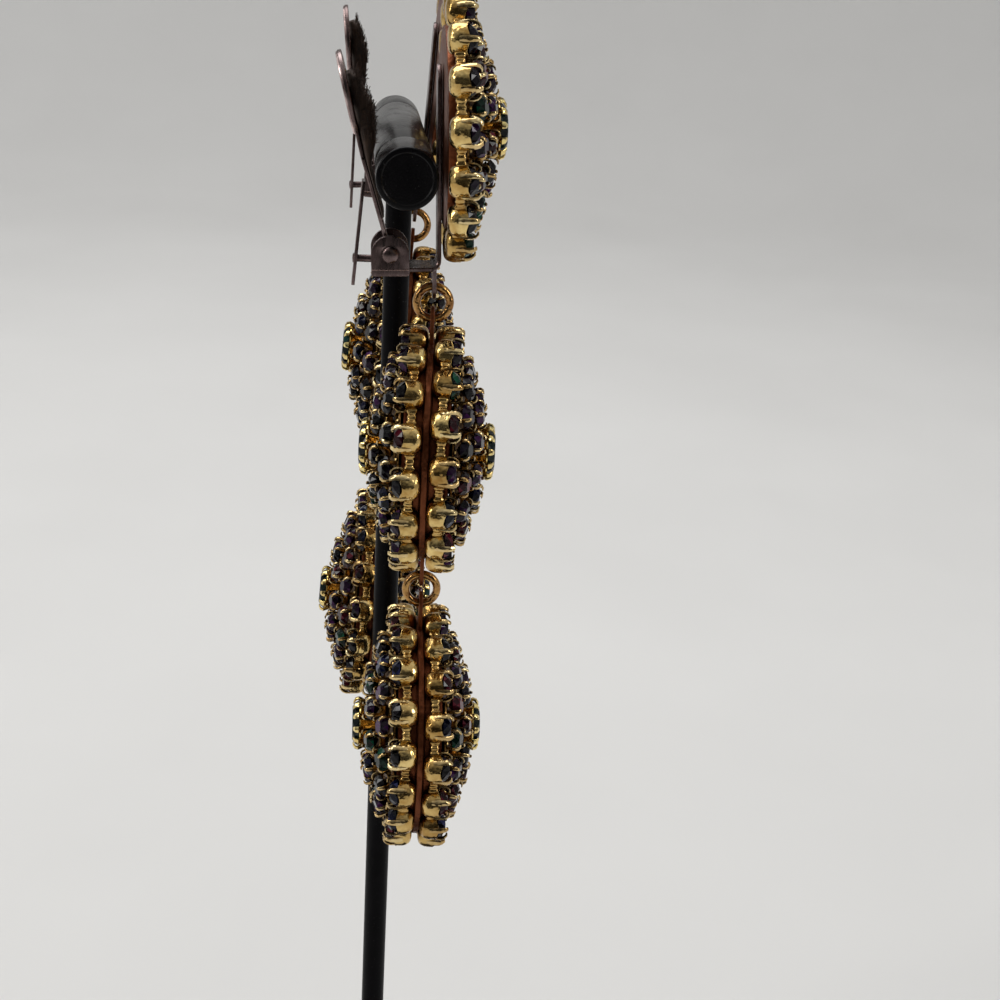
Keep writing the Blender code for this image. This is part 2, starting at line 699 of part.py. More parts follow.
def make_earring(earring):
    name = earring["name"]
    pin_depth = earring["pin_depth"]
    axis = Matrix.Translation((earring["side"] * EARRING_OFFSET, 0.0, BAR_HEIGHT))
    clip_place = axis @ Matrix.Rotation(earring["lean"], 4, "X")
    clip = add_frame(name + "_clip_point", clip_place)
    add_part(name + "_clip_base", clip_base_mesh(pin_depth), STEEL, clip)
    pin_place = at(0.0, -PIN_BEHIND_BAR, -pin_depth)
    add_part(name + "_hinge_pin", pin_mesh(), STEEL, clip, pin_place)

    lean = lever_angle(pin_depth)
    hinge = add_frame(name + "_lever_axis", pin_place @ Matrix.Rotation(-lean, 4, "X"), clip)
    add_part(name + "_lever", lever_mesh(earring["paddle_bend"]), STEEL, hinge)
    add_part(name + "_pad", pad_mesh(earring["paddle_bend"]), FELT, hinge)
    add_part(name + "_lever_spring", spring_mesh(), STEEL, hinge)

    top = add_frame(name + "_top_point", at(0.0, HANG_FRONT, TOP_CENTRE_RISE - pin_depth), clip)
    plate_start = CUP_BACK
    plate_end = TIER_BOTTOM - TOP_SINK - FIT
    plate_middle = Matrix.Translation((0.0, 0.0, (plate_start + plate_end) / 2))
    plate_radius = inside_cups(CLUSTER) - FIT
    plate = cylinder_mesh(plate_radius, plate_end - plate_start, TIER_SIDES, FACING_FRONT @ plate_middle)
    add_part(name + "_top_plate", plate, OLD_GOLD, top)
    add_half(name + "_top", CLUSTER, top, FACING_FRONT, RING_TURN["top"], TOP_SINK)

    hook = clip_place @ Vector((0.0, TAB_SET_BACK - HANG_FRONT, -pin_depth - LINK_TOP_DEPTH))
    hanging = Matrix.Translation(hook) @ Matrix.Rotation(earring["swing"], 4, "X")
    upper = add_frame(name + "_middle_swing_axis", hanging)
    add_part(name + "_upper_link", link_mesh(), OLD_GOLD, upper)
    middle_height = -LINK_RADIUS - LINK_TO_MIDDLE
    eye = LINK_TO_MIDDLE - LINK_RADIUS
    low_eye = -(MIDDLE_TO_LINK - LINK_RADIUS)
    strips = ((eye, 1), (low_eye, -1))
    add_drop(name, "middle", CLUSTER, upper, middle_height, earring["twist"], strips)

    lower_hook = Matrix.Translation((0.0, 0.0, middle_height + low_eye))
    lower = add_frame(name + "_lower_swing_axis", lower_hook, upper)
    add_part(name + "_lower_link", link_mesh(), OLD_GOLD, lower)
    lower_eye = LINK_TO_LOWER - LINK_RADIUS
    lower_height = -LINK_RADIUS - LINK_TO_LOWER
    add_drop(name, "lower", LOWER_CLUSTER, lower, lower_height, 0.0, ((lower_eye, 1),))


clear_scene()
PARTS = new_collection("chandelier_earrings_on_stand")

GOLD = new_material("antique_gold", (0.62, 0.40, 0.10), 1.0, 0.30)
OLD_GOLD = new_material("brown_gold", (0.30, 0.15, 0.05), 1.0, 0.40)
STEEL = new_material("dark_steel", (0.16, 0.13, 0.13), 1.0, 0.35)
AMETHYST = new_material("amethyst_stones", (0.07, 0.03, 0.09), 0.0, 0.10)
JET = new_material("dark_stone", (0.01, 0.02, 0.02), 0.0, 0.06)
FELT = new_material("brown_cushion", (0.05, 0.03, 0.02), 0.0, 0.95)
BLACK = new_material("satin_black", (0.012, 0.012, 0.014), 0.0, 0.35)

make_stand(BLACK)
for earring_place in EARRINGS:
    make_earring(earring_place)
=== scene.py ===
"""Looks, camera, lights and floor for the pair of chandelier clip earrings on their stand."""

import random
from math import asin, atan2, cos, hypot, pi, radians, sin, tan

import bmesh
import bpy
import numpy as np
from mathutils import Matrix, Vector, noise


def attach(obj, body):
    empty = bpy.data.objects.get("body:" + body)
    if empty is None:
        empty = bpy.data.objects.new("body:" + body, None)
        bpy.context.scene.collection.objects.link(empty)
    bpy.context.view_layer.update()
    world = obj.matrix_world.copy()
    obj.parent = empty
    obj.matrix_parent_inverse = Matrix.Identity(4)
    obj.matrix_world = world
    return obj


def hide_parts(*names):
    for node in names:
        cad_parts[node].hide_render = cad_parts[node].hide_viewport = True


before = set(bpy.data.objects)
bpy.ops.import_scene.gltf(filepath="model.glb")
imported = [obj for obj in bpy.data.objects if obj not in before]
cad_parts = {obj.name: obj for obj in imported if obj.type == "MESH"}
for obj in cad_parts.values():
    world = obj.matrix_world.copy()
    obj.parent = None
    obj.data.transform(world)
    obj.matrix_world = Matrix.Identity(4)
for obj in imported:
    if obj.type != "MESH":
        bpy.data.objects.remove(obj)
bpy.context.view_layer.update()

MM = 0.001
IDENTITY = Matrix.Identity(4)
ALONG_X = Matrix.Rotation(pi / 2, 4, "Y")
FACING_FRONT = Matrix.Rotation(pi / 2, 4, "X")
FACING_BACK = Matrix.Rotation(pi, 4, "Z") @ FACING_FRONT
UPRIGHT = FACING_FRONT
SIDEWAYS = Matrix.Rotation(pi / 2, 4, "Z") @ UPRIGHT
SCENE = bpy.context.scene

# Measures in millimetres, the same as in the solids
BAR_HEIGHT = 185.0
BAR_RADIUS = 3.6
BAR_LENGTH = 60.6
BAR_CAP_LENGTH = 9.6
ROD_RADIUS = 1.75
ROD_TOP_BELOW_BAR = 3.7
BASE_RADIUS = 40.0
BASE_HEIGHT = 5.0
FIT = 0.25
STRIP = 0.5
STRIP_WIDTH = 2.9
STRIP_END = 1.6
WALL_BEHIND_CUPS = 2.6
CUP_BACK = 0.45
CUP_RADIUS = 1.95
CLUSTER = {"radius": 15.95, "cups": 16}
LOWER_CLUSTER = {"radius": 16.5, "cups": 17}
RING_TURN = {"top": -4.5, "middle_front": -7.0, "middle_back": 0.0, "lower_front": 5.0, "lower_back": -8.5}
DRUM_HALF = 2.95
TOP_SINK = 0.6
HANG_FRONT = 4.1
PIN_BEHIND_BAR = 1.85
PLATE_RISE = 22.0
TOP_CENTRE_RISE = 14.65
CHEEK_RADIUS = 2.3
CHEEK_DEPTH = 2.65
FLOOR_DEPTH = 1.9
TAB_SET_BACK = 0.55
LINK_TOP_DEPTH = 4.4
LINK_RADIUS = 2.05
LINK_WIRE = 0.55
LINK_TO_MIDDLE = 19.1
MIDDLE_TO_LINK = 19.5
LINK_TO_LOWER = 20.2
LEVER_STAND_OFF = 4.5
LEVER_ARM = 12.0
ARM_HALF_WIDTH = 2.3
BEND_RADIUS = 5.0
PADDLE_REACH = 12.2
PADDLE_LENGTH = 10.4
PADDLE_WIDTH = 9.0
PAD_HALF_WIDTH = 3.15

# Distance along the lever from its hinge, and how far the cushion stands off it there
PAD_ROWS = ((4.5, 0.42), (10.6, 0.42), (13.0, 1.6), (17.0, 2.35), (21.5, 1.05))
PAD_LOW = PAD_ROWS[0][0]
PAD_HIGH = PAD_ROWS[-1][0]
FIBRES = 420

# Where each earring sits along the crossbar, its hinge's depth below the bar, the lean of its
# clip, the bend of its paddle, the swing of its drops and the twist of its middle drop
EARRINGS = (
    {"name": "left", "side": -18.6, "depth": 10.3, "lean": -2.2, "bend": 3.0, "swing": 0.0, "twist": -4.0},
    {"name": "right", "side": 18.6, "depth": 7.0, "lean": 3.0, "bend": 15.0, "swing": 4.0, "twist": 0.0},
)

# Stones' own colours and how often each comes
STONE_COLOURS = (
    {"colour": (0.014, 0.003, 0.018), "share": 36},
    {"colour": (0.003, 0.004, 0.018), "share": 14},
    {"colour": (0.030, 0.003, 0.006), "share": 20},
    {"colour": (0.002, 0.018, 0.010), "share": 10},
    {"colour": (0.003, 0.002, 0.004), "share": 20},
)
# Brightness factors for stone facets; the high ones are painted glints
FACET_PAINTED_GLINTS = (0.1, 0.2, 0.4, 0.7, 1.0, 1.0, 3.2)

# Where the side lights aim, in metres
MIDDLE_OF_ALL = (0.0, 0.0, 0.14)


class Shape:
    """Points, faces and face tints gathered for one mesh."""

    def __init__(self):
        self.points = []
        self.faces = []
        self.tints = []
        self.count = 0

    def add(self, points, faces, tint=(1.0, 1.0, 1.0), place=IDENTITY):
        points = np.asarray(points, dtype=float).reshape(-1, 3)
        turn = np.array(place)
        points = points @ turn[:3, :3].T + turn[:3, 3]
        first = self.count
        self.points.append(points)
        self.faces.extend(tuple(first + index for index in face) for face in faces)
        self.tints.extend([tint] * len(faces))
        self.count += len(points)
        return self

    def join(self, other, place=IDENTITY, tints=None):
        first = len(self.tints)
        self.add(np.concatenate(other.points), other.faces, place=place)
        self.tints[first:] = tints or other.tints
        return self

    def finished(self, name, body, slot, material, nodes=(), sharp=35.0):
        """Object in metres that rides on a body and stands for the named nodes."""
        mesh = bpy.data.meshes.new(name)
        mesh.from_pydata((np.concatenate(self.points) * MM).tolist(), [], self.faces)
        tint = mesh.color_attributes.new("tint", "FLOAT_COLOR", "CORNER")
        corners = [len(face) for face in self.faces]
        colours = np.ones((sum(corners), 4))
        colours[:, :3] = np.repeat(np.array(self.tints), corners, axis=0)
        tint.data.foreach_set("color", colours.ravel())
        return finished_mesh(mesh, name, body, material, nodes, sharp)


def finished_mesh(mesh, name, body, material, nodes=(), sharp=35.0):
    form = bmesh.new()
    form.from_mesh(mesh)
    bmesh.ops.recalc_face_normals(form, faces=form.faces)
    form.to_mesh(mesh)
    form.free()
    mesh.materials.clear()
    mesh.materials.append(material)
    if sharp:
        mesh.shade_smooth()
        mesh.set_sharp_from_angle(angle=radians(sharp))
    else:
        mesh.shade_flat()
    obj = bpy.data.objects.new(name, mesh)
    SCENE.collection.objects.link(obj)
    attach(obj, body)
    if nodes:
        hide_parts(*nodes)
    return obj


def at(x, y, z):
    return Matrix.Translation((x, y, z))


def turned(degrees, axis):
    return Matrix.Rotation(radians(degrees), 4, axis)


def lathe(profile, sides, lift=None):
    """Points and faces of a form turned round Z; rows of (radius, height), radius 0 is a pole."""
    points = []
    rows = []
    for row, (radius, height) in enumerate(profile):
        if radius == 0.0:
            rows.append([len(points)])
            points.append((0.0, 0.0, height))
            continue
        rows.append(list(range(len(points), len(points) + sides)))
        for index in range(sides):
            turn = 2 * pi * index / sides
            rise = lift(row, turn) if lift else 0.0
            points.append((radius * cos(turn), radius * sin(turn), height + rise))
    faces = []
    for one, other in zip(rows, rows[1:]):
        for index in range(sides):
            after = (index + 1) % sides
            if len(one) == 1:
                faces.append((one[0], other[index], other[after]))
            elif len(other) == 1:
                faces.append((one[index], other[0], one[after]))
            else:
                faces.append((one[index], other[index], other[after], one[after]))
    return points, faces


def bar_faces(rows, sides):
    """Faces of a closed bar: its two ends and the bands between its rows of points."""
    faces = [tuple(range(sides)), tuple(range(sides * (rows - 1), sides * rows))]
    for row in range(rows - 1):
        for step in range(sides):
            after = (step + 1) % sides
            low, high = sides * row, sides * (row + 1)
            faces.append((low + step, low + after, high + after, high + step))
    return faces


def signed_power(value, power):
    return abs(value) ** power * (1 if value > 0 else -1)


def swept(path, sections, across, sides=8, squareness=1.0):
    """Closed bar along a path; a section is (half width along "across", half depth)."""
    path = [Vector(point) for point in path]
    across = Vector(across).normalized()
    points = []
    for index, (half_width, half_depth) in enumerate(sections):
        before = path[max(0, index - 1)]
        after = path[min(len(path) - 1, index + 1)]
        depth = across.cross((after - before).normalized()).normalized()
        for step in range(sides):
            turn = 2 * pi * (step + 0.5) / sides
            wide = signed_power(cos(turn), squareness)
            deep = signed_power(sin(turn), squareness)
            points.append(path[index] + across * half_width * wide + depth * half_depth * deep)
    return [tuple(point) for point in points], bar_faces(len(path), sides)


def ribbon(path, half_widths, thickness, edge=0.08):
    """Flat strip along (y, z) points with rounded edges, its width along X."""
    half = thickness / 2
    points = []
    count = len(path)
    for index, (half_width, (y, z)) in enumerate(zip(half_widths, path)):
        before = path[max(0, index - 1)]
        after = path[min(count - 1, index + 1)]
        along = Vector((after[0] - before[0], after[1] - before[1])).normalized()
        side = (-along[1], along[0])
        inner = max(half_width - edge, half_width * 0.4)
        section = (
            (half_width, -half + edge), (half_width, half - edge), (inner, half), (-inner, half),
            (-half_width, half - edge), (-half_width, -half + edge), (-inner, -half), (inner, -half),
        )
        for x, out in section:
            points.append((x, y + side[0] * out, z + side[1] * out))
    return points, bar_faces(count, len(section))


def arc(centre, radius, start, end, steps):
    """Points of an arc, in degrees, both ends among them."""
    turns = [radians(start + (end - start) * index / steps) for index in range(steps + 1)]
    return [(centre[0] + radius * cos(turn), centre[1] + radius * sin(turn)) for turn in turns]


def plate(loops, thickness, edge, place):
    """Plate cut to closed loops in millimetres, with rounded edges, as points and faces in place."""
    curve = bpy.data.curves.new("outline", "CURVE")
    curve.dimensions = "2D"
    curve.fill_mode = "BOTH"
    curve.extrude = thickness / 2 - edge
    curve.bevel_depth = edge
    curve.bevel_resolution = 2
    curve.offset = -edge
    for loop in loops:
        spline = curve.splines.new("POLY")
        spline.points.add(len(loop) - 1)
        for point, (x, y) in zip(spline.points, loop):
            point.co = (x, y, 0.0, 1.0)
        spline.use_cyclic_u = True
    obj = bpy.data.objects.new("outline", curve)
    SCENE.collection.objects.link(obj)
    graph = bpy.context.evaluated_depsgraph_get()
    mesh = bpy.data.meshes.new_from_object(obj.evaluated_get(graph))
    bpy.data.objects.remove(obj, do_unlink=True)
    form = bmesh.new()
    form.from_mesh(mesh)
    bmesh.ops.remove_doubles(form, verts=form.verts, dist=0.0005)
    bmesh.ops.transform(form, matrix=place, verts=form.verts)
    form.verts.index_update()
    points = [tuple(vert.co) for vert in form.verts]
    faces = [tuple(vert.index for vert in face.verts) for face in form.faces]
    form.free()
    bpy.data.meshes.remove(mesh)
    return points, faces


# Materials

class Tree:
    """Short way to build a material's nodes."""

    def __init__(self, name):
        self.material = bpy.data.materials.new(name)
        self.material.use_nodes = True
        self.nodes = self.material.node_tree.nodes
        self.links = self.material.node_tree.links
        self.shader = self.nodes["Principled BSDF"]
        coordinates = self.nodes.new("ShaderNodeTexCoord")
        self.place = coordinates.outputs["Object"]

    def node(self, kind, inputs=None, **settings):
        made = self.nodes.new("ShaderNode" + kind)
        for key, value in settings.items():
            setattr(made, key, value)
        for key, value in (inputs or {}).items():
            self.feed(made.inputs[key], value)
        return made

    def feed(self, socket, value):
        if isinstance(value, bpy.types.NodeSocket):
            self.links.new(value, socket)
        else:
            socket.default_value = value

    def noise(self, scale, detail=3.0, roughness=0.55, place=None):
        inputs = {"Vector": place or self.place, "Scale": scale, "Detail": detail, "Roughness": roughness}
        return self.node("TexNoise", inputs).outputs["Fac"]

    def stretched(self, scale):
        mapping = self.node("Mapping", {"Vector": self.place, "Scale": scale})
        return mapping.outputs["Vector"]

    def ramp(self, factor, stops):
        made = self.node("ValToRGB", {"Fac": factor})
        ramp = made.color_ramp
        for index, (position, colour) in enumerate(stops):
            stop = ramp.elements[index] if index < 2 else ramp.elements.new(position)
            stop.position = position
            stop.color = (*colour, 1.0)
        return made.outputs["Color"]

    def range(self, value, low, high, to_low, to_high):
        inputs = {"Value": value, "From Min": low, "From Max": high, "To Min": to_low, "To Max": to_high}
        return self.node("MapRange", inputs).outputs["Result"]

    def mix(self, factor, one, other, blend="MIX"):
        made = self.node("Mix", data_type="RGBA", blend_type=blend)
        for key, value in ((0, factor), (6, one), (7, other)):
            self.feed(made.inputs[key], value)
        return made.outputs[2]

    def math(self, operation, one, other):
        made = self.node("Math", operation=operation)
        self.feed(made.inputs[0], one)
        self.feed(made.inputs[1], other)
        return made.outputs[0]

    def crevice(self, distance):
        made = self.node("AmbientOcclusion", {"Distance": distance}, samples=6)
        return made.outputs["AO"]

    def tint(self):
        made = self.node("VertexColor")
        made.layer_name = "tint"
        return made.outputs["Color"]

    def bump(self, height, distance, strength=1.0, normal=None):
        inputs = {"Height": height, "Distance": distance, "Strength": strength}
        if normal:
            inputs["Normal"] = normal
        return self.node("Bump", inputs).outputs["Normal"]

    def finish(self, **sockets):
        for key, value in sockets.items():
            self.feed(self.shader.inputs[key.replace("_", " ")], value)
        return self.material


def gold_material(name, bright, middle, dark, rough, patina):
    tree = Tree(name)
    broad = tree.noise(520.0, 4.0, 0.6)
    fine = tree.noise(5200.0, 3.0, 0.6)
    metal = tree.ramp(broad, ((0.32, middle), (0.62, bright)))
    tinted = tree.mix(1.0, metal, tree.tint(), "MULTIPLY")
    open_air = tree.math("ADD", tree.crevice(2.0 * MM), tree.range(fine, 0.3, 0.7, -0.08, 0.08))
    clean = tree.range(open_air, patina[0], patina[1], 0.0, 1.0)
    colour = tree.mix(clean, (*dark, 1.0), tinted)
    worn = tree.range(broad, 0.3, 0.7, rough[0], rough[1])
    roughness = tree.math("ADD", worn, tree.range(clean, 0.0, 1.0, 0.22, 0.0))
    dents = tree.bump(tree.noise(700.0, 2.0), 0.34 * MM, 0.8)
    pits = tree.bump(fine, 0.012 * MM, 0.5, dents)
    return tree.finish(Base_Color=colour, Metallic=1.0, Roughness=roughness, Normal=pits)


def steel_material():
    tree = Tree("dark_steel_smudged")
    broad = tree.noise(260.0, 4.0, 0.65)
    fine = tree.noise(3600.0, 4.0, 0.6)
    drawn = tree.noise(900.0, 3.0, 0.6, tree.stretched((3.0, 3.0, 0.35)))
    stops = ((0.3, (0.085, 0.058, 0.055)), (0.52, (0.18, 0.13, 0.125)), (0.72, (0.34, 0.27, 0.26)))
    metal = tree.ramp(broad, stops)
    clean = tree.range(tree.crevice(1.0 * MM), 0.15, 0.75, 0.0, 1.0)
    # The tint attribute brightens the paddle rims and the cheek ledges: painted highlights
    tinted = tree.mix(1.0, metal, tree.tint(), "MULTIPLY")
    colour = tree.mix(clean, (0.035, 0.025, 0.022, 1.0), tinted)
    roughness = tree.range(drawn, 0.3, 0.7, 0.20, 0.38)
    brushed = tree.bump(drawn, 0.02 * MM, 0.6)
    pits = tree.bump(fine, 0.01 * MM, 0.5, brushed)
    return tree.finish(Base_Color=colour, Metallic=1.0, Roughness=roughness, Normal=pits)


def stone_material(name, roughness):
    tree = Tree(name)
    smear = tree.noise(1400.0, 3.0)
    shade = tree.range(tree.noise(700.0, 2.0), 0.3, 0.7, 0.6, 1.5)
    # The tint holds each facet's colour with its painted glint brightness
    colour = tree.mix(1.0, tree.tint(), shade, "MULTIPLY")
    shine = tree.range(smear, 0.35, 0.75, roughness, roughness + 0.10)
    made = tree.finish(Base_Color=colour, Roughness=shine, IOR=1.5)
    tree.shader.inputs["Specular IOR Level"].default_value = 0.20
    return made


def cushion_material():
    tree = Tree("brown_felt")
    fibres = tree.noise(2600.0, 6.0, 0.7, tree.stretched((1.0, 1.0, 0.18)))
    patches = tree.noise(420.0, 4.0, 0.6)
    fibre_colour = tree.ramp(fibres, ((0.34, (0.009, 0.005, 0.003)), (0.66, (0.06, 0.034, 0.021))))
    patch_colour = tree.ramp(patches, ((0.35, (0.55, 0.5, 0.5)), (0.65, (1.25, 1.2, 1.15))))
    colour = tree.mix(1.0, fibre_colour, patch_colour, "MULTIPLY")
    roughness = tree.range(fibres, 0.3, 0.7, 0.85, 1.0)
    made = tree.finish(Base_Color=colour, Roughness=roughness, Normal=tree.bump(fibres, 0.12 * MM, 0.9))
    tree.shader.inputs["Sheen Weight"].default_value = 0.18
    tree.shader.inputs["Sheen Roughness"].default_value = 0.5
    tree.shader.inputs["Sheen Tint"].default_value = (0.55, 0.42, 0.36, 1.0)
    return made


def black_material(name, rough, gloss):
    tree = Tree(name)
    grain = tree.noise(4200.0, 3.0, 0.6)
    dust = tree.noise(160.0, 5.0, 0.65)
    scratch = tree.noise(700.0, 2.0, 0.5, tree.stretched((0.25, 5.0, 5.0)))
    colour = tree.ramp(dust, ((0.35, (0.0022, 0.002, 0.0026)), (0.7, (0.0055, 0.005, 0.006))))
    ticks = tree.range(scratch, 0.69, 0.73, 0.0, 1.0)
    marked = tree.mix(ticks, colour, (0.03, 0.03, 0.03, 1.0))
    roughness = tree.range(dust, 0.3, 0.7, rough, rough + 0.10)
    made = tree.finish(Base_Color=marked, Roughness=roughness, Normal=tree.bump(grain, 0.012 * MM, 0.6))
    tree.shader.inputs["Specular IOR Level"].default_value = gloss
    return made


# Each plating: bright, middle and dark colour, range of roughness, openness from dark to clean
GOLD = gold_material(
    "antique_gold_plate",
    (0.80, 0.58, 0.23), (0.49, 0.29, 0.085), (0.055, 0.018, 0.005), (0.12, 0.24), (0.28, 0.86),
)
CENTRE_GOLD = gold_material(
    "yellow_gold_plate",
    (0.98, 0.74, 0.25), (0.74, 0.48, 0.13), (0.07, 0.028, 0.008), (0.12, 0.20), (0.20, 0.75),
)
BROWN_GOLD = gold_material(
    "brown_gold_plate",
    (0.20, 0.065, 0.028), (0.12, 0.036, 0.015), (0.13, 0.034, 0.013), (0.36, 0.48), (0.0, 0.6),
)
LINK_GOLD = gold_material(
    "link_wire_plate",
    (0.56, 0.32, 0.11), (0.26, 0.12, 0.045), (0.03, 0.011, 0.005), (0.15, 0.26), (0.20, 0.8),
)
STEEL = steel_material()
STONE = stone_material("set_stones", 0.03)
CENTRE_STONE = stone_material("middle_stones", 0.02)
FELT = cushion_material()
BLACK = black_material("satin_black_paint", 0.20, 0.15)
ROD_BLACK = black_material("satin_black_rod_paint", 0.30, 0.05)


# Settings and stones, heights above the underside of a cup

CUP_PROFILE = (
    (0.0, 0.0), (0.9, 0.02), (1.32, 0.14), (1.62, 0.38), (1.83, 0.78), (1.93, 1.2), (1.95, 1.6),
    (1.95, 2.05), (1.98, 2.25), (1.95, 2.4), (1.82, 2.45), (1.68, 2.35), (1.62, 1.9),
    (0.9, 1.2), (0.0, 1.1),
)
CUP_RIM_ROWS = {7: 0.4, 8: 0.9, 9: 1.0, 10: 1.0, 11: 0.8}
CUP_SIDES = 28
RIM_DIP = 0.32
CLAW_PATH = ((1.88, 1.2), (1.96, 1.75), (2.02, 2.3), (2.03, 2.82), (1.90, 3.26), (1.62, 3.55), (1.26, 3.60))
CLAW_SECTIONS = (
    (0.30, 0.10), (0.37, 0.16), (0.40, 0.20), (0.37, 0.21), (0.32, 0.20), (0.26, 0.18), (0.15, 0.11)
)
STONE_GIRDLE = {"radius": 1.74, "height": 2.35}
STONE_CROWN = {"radius": 1.44, "height": 2.92}
STONE_TABLE = {"radius": 0.98, "height": 3.34}
CLAW_TINT = (1.06, 1.14, 1.45)
BASKET_PROFILE = (
    (0.0, 0.0), (0.9, 0.03), (1.3, 0.2), (1.52, 0.5), (1.60, 0.9), (1.62, 1.25), (1.56, 1.36), (1.42, 1.3),
    (0.9, 1.0), (0.0, 0.9),
)
BASKET_CLAW_PATH = (
    (1.50, 0.7), (1.70, 1.15), (1.84, 1.7), (1.94, 2.3), (1.97, 2.8), (1.86, 3.25),
    (1.58, 3.52), (1.22, 3.56),
)
BASKET_CLAW_SECTIONS = (
    (0.30, 0.10), (0.34, 0.14), (0.32, 0.16), (0.29, 0.17), (0.28, 0.18), (0.26, 0.18),
    (0.22, 0.16), (0.13, 0.10),
)


def cup_shape(profile, rim_rows, path, sections, claws):
    """Cup with its claws, outward along +X; claws are degrees from outward."""
    def dip(row, turn):
        between = 0.5 - 0.5 * cos(4 * (turn - pi / 4))
        return -RIM_DIP * between * rim_rows.get(row, 0.0)

    cup = Shape()
    cup.add(*lathe(profile, CUP_SIDES, dip))
    line = [(radius, 0.0, height) for radius, height in path]
    for degrees in claws:
        cup.add(*swept(line, sections, (0, 1, 0)), tint=CLAW_TINT, place=turned(degrees, "Z"))
    return cup


def stone_shape(sides, girdle, crown, table, point):
    """Cut stone: a table, stars, kites, girdle facets and a plain back."""
    points = []
    for step in range(sides):
        turn = 2 * pi * step / sides
        points.append((table["radius"] * cos(turn), table["radius"] * sin(turn), table["height"]))
    for step in range(sides):
        turn = 2 * pi * (step + 0.5) / sides
        points.append((crown["radius"] * cos(turn), crown["radius"] * sin(turn), crown["height"]))
    for step in range(2 * sides):
        turn = pi * step / sides
        points.append((girdle["radius"] * cos(turn), girdle["radius"] * sin(turn), girdle["height"]))
    points.append((0.0, 0.0, point))
    faces = [tuple(range(sides))]
    for step in range(sides):
        after = (step + 1) % sides
        star, last_star = sides + step, sides + (step - 1) % sides
        edge = 2 * sides + 2 * step
        next_edge = 2 * sides + 2 * after
        faces.append((step, after, star))
        faces.append((step, star, edge, last_star))
        faces.append((star, edge, edge + 1))
        faces.append((star, edge + 1, next_edge))
        faces.append((edge, edge + 1, len(points) - 1))
        faces.append((edge + 1, next_edge, len(points) - 1))
    return Shape().add(points, faces)


OUTER_CUP = cup_shape(CUP_PROFILE, CUP_RIM_ROWS, CLAW_PATH, CLAW_SECTIONS, (45, 135, 225, 315))
INNER_CUP = cup_shape(BASKET_PROFILE, {}, BASKET_CLAW_PATH, BASKET_CLAW_SECTIONS, (42, 138, 222, 318))
SMALL_STONE = stone_shape(8, STONE_GIRDLE, STONE_CROWN, STONE_TABLE, 1.0)


def painted_glint_tints(rng, count, colour):
    """A tint for each facet: the stone's colour times a brightness; a few are painted glints."""
    painted_glints = [rng.choice(FACET_PAINTED_GLINTS) for _ in range(count)]
    return [tuple(channel * shade for channel in colour) for shade in painted_glints]


def stone_colour(rng):
    weights = [row["share"] for row in STONE_COLOURS]
    return rng.choices(STONE_COLOURS, weights)[0]["colour"]


def worn_tints(shade, tints):
    """Tints of one cup, browner where its plating is darker."""
    wear = (shade, shade ** 1.3, shade ** 1.7)
    return [tuple(one * other for one, other in zip(wear, tint)) for tint in tints]


def bar_shape(length, radial, rise, ridges):
    """Short ridged bar between two cups, its length along Y."""
    steps = 8 * ridges
    path = []
    sections = []
    for step in range(steps + 1):
        share = step / steps
        path.append((0.0, length * (share - 0.5), 0.0))
        waist = 0.80 + 0.30 * (2 * share - 1) ** 2
        swell = waist + 0.09 * cos(2 * pi * ridges * (share - 0.5))
        sections.append((radial * swell, rise * swell))
    return Shape().add(*swept(path, sections, (1, 0, 0), 12, 0.7), tint=(0.92, 0.85, 0.78))


def outer_ring(cluster, turn, rng, metal, stones, place):
    """Sixteen or seventeen cups in a ring, joined by their bars."""
    cups = cluster["cups"]
    centre = cluster["radius"] - CUP_RADIUS
    gap = 2 * centre * sin(pi / cups) - 2 * CUP_RADIUS
    bar = bar_shape(gap + 0.6, 0.46, 0.66, 3)
    for index in range(cups):
        around = turned(turn + 360 * index / cups, "Z")
        wobble = turned(rng.uniform(-3, 3), "Z") @ turned(rng.uniform(-1.6, 1.6), "Y")
        spot = place @ around @ at(centre, 0, CUP_BACK) @ wobble
        metal.join(OUTER_CUP, spot, worn_tints(rng.uniform(0.68, 1.16), OUTER_CUP.tints))
        colour = stone_colour(rng)
        spun = spot @ turned(rng.uniform(0, 45), "Z")
        stones.join(SMALL_STONE, spun, painted_glint_tints(rng, len(SMALL_STONE.faces), colour))
        middle = turned(turn + 360 * (index + 0.5) / cups, "Z")
        metal.join(bar, place @ middle @ at(centre * cos(pi / cups), 0, CUP_BACK + 1.35))


INNER_RINGS = (
    {"radius": 9.95, "cups": 16, "tilt": 20.0, "scale": 0.90, "low": 0.80, "top": 5.75, "turn": 4.0},
    {"radius": 6.05, "cups": 10, "tilt": 13.0, "scale": 0.88, "low": 0.80, "top": 7.15, "turn": 9.0},
)


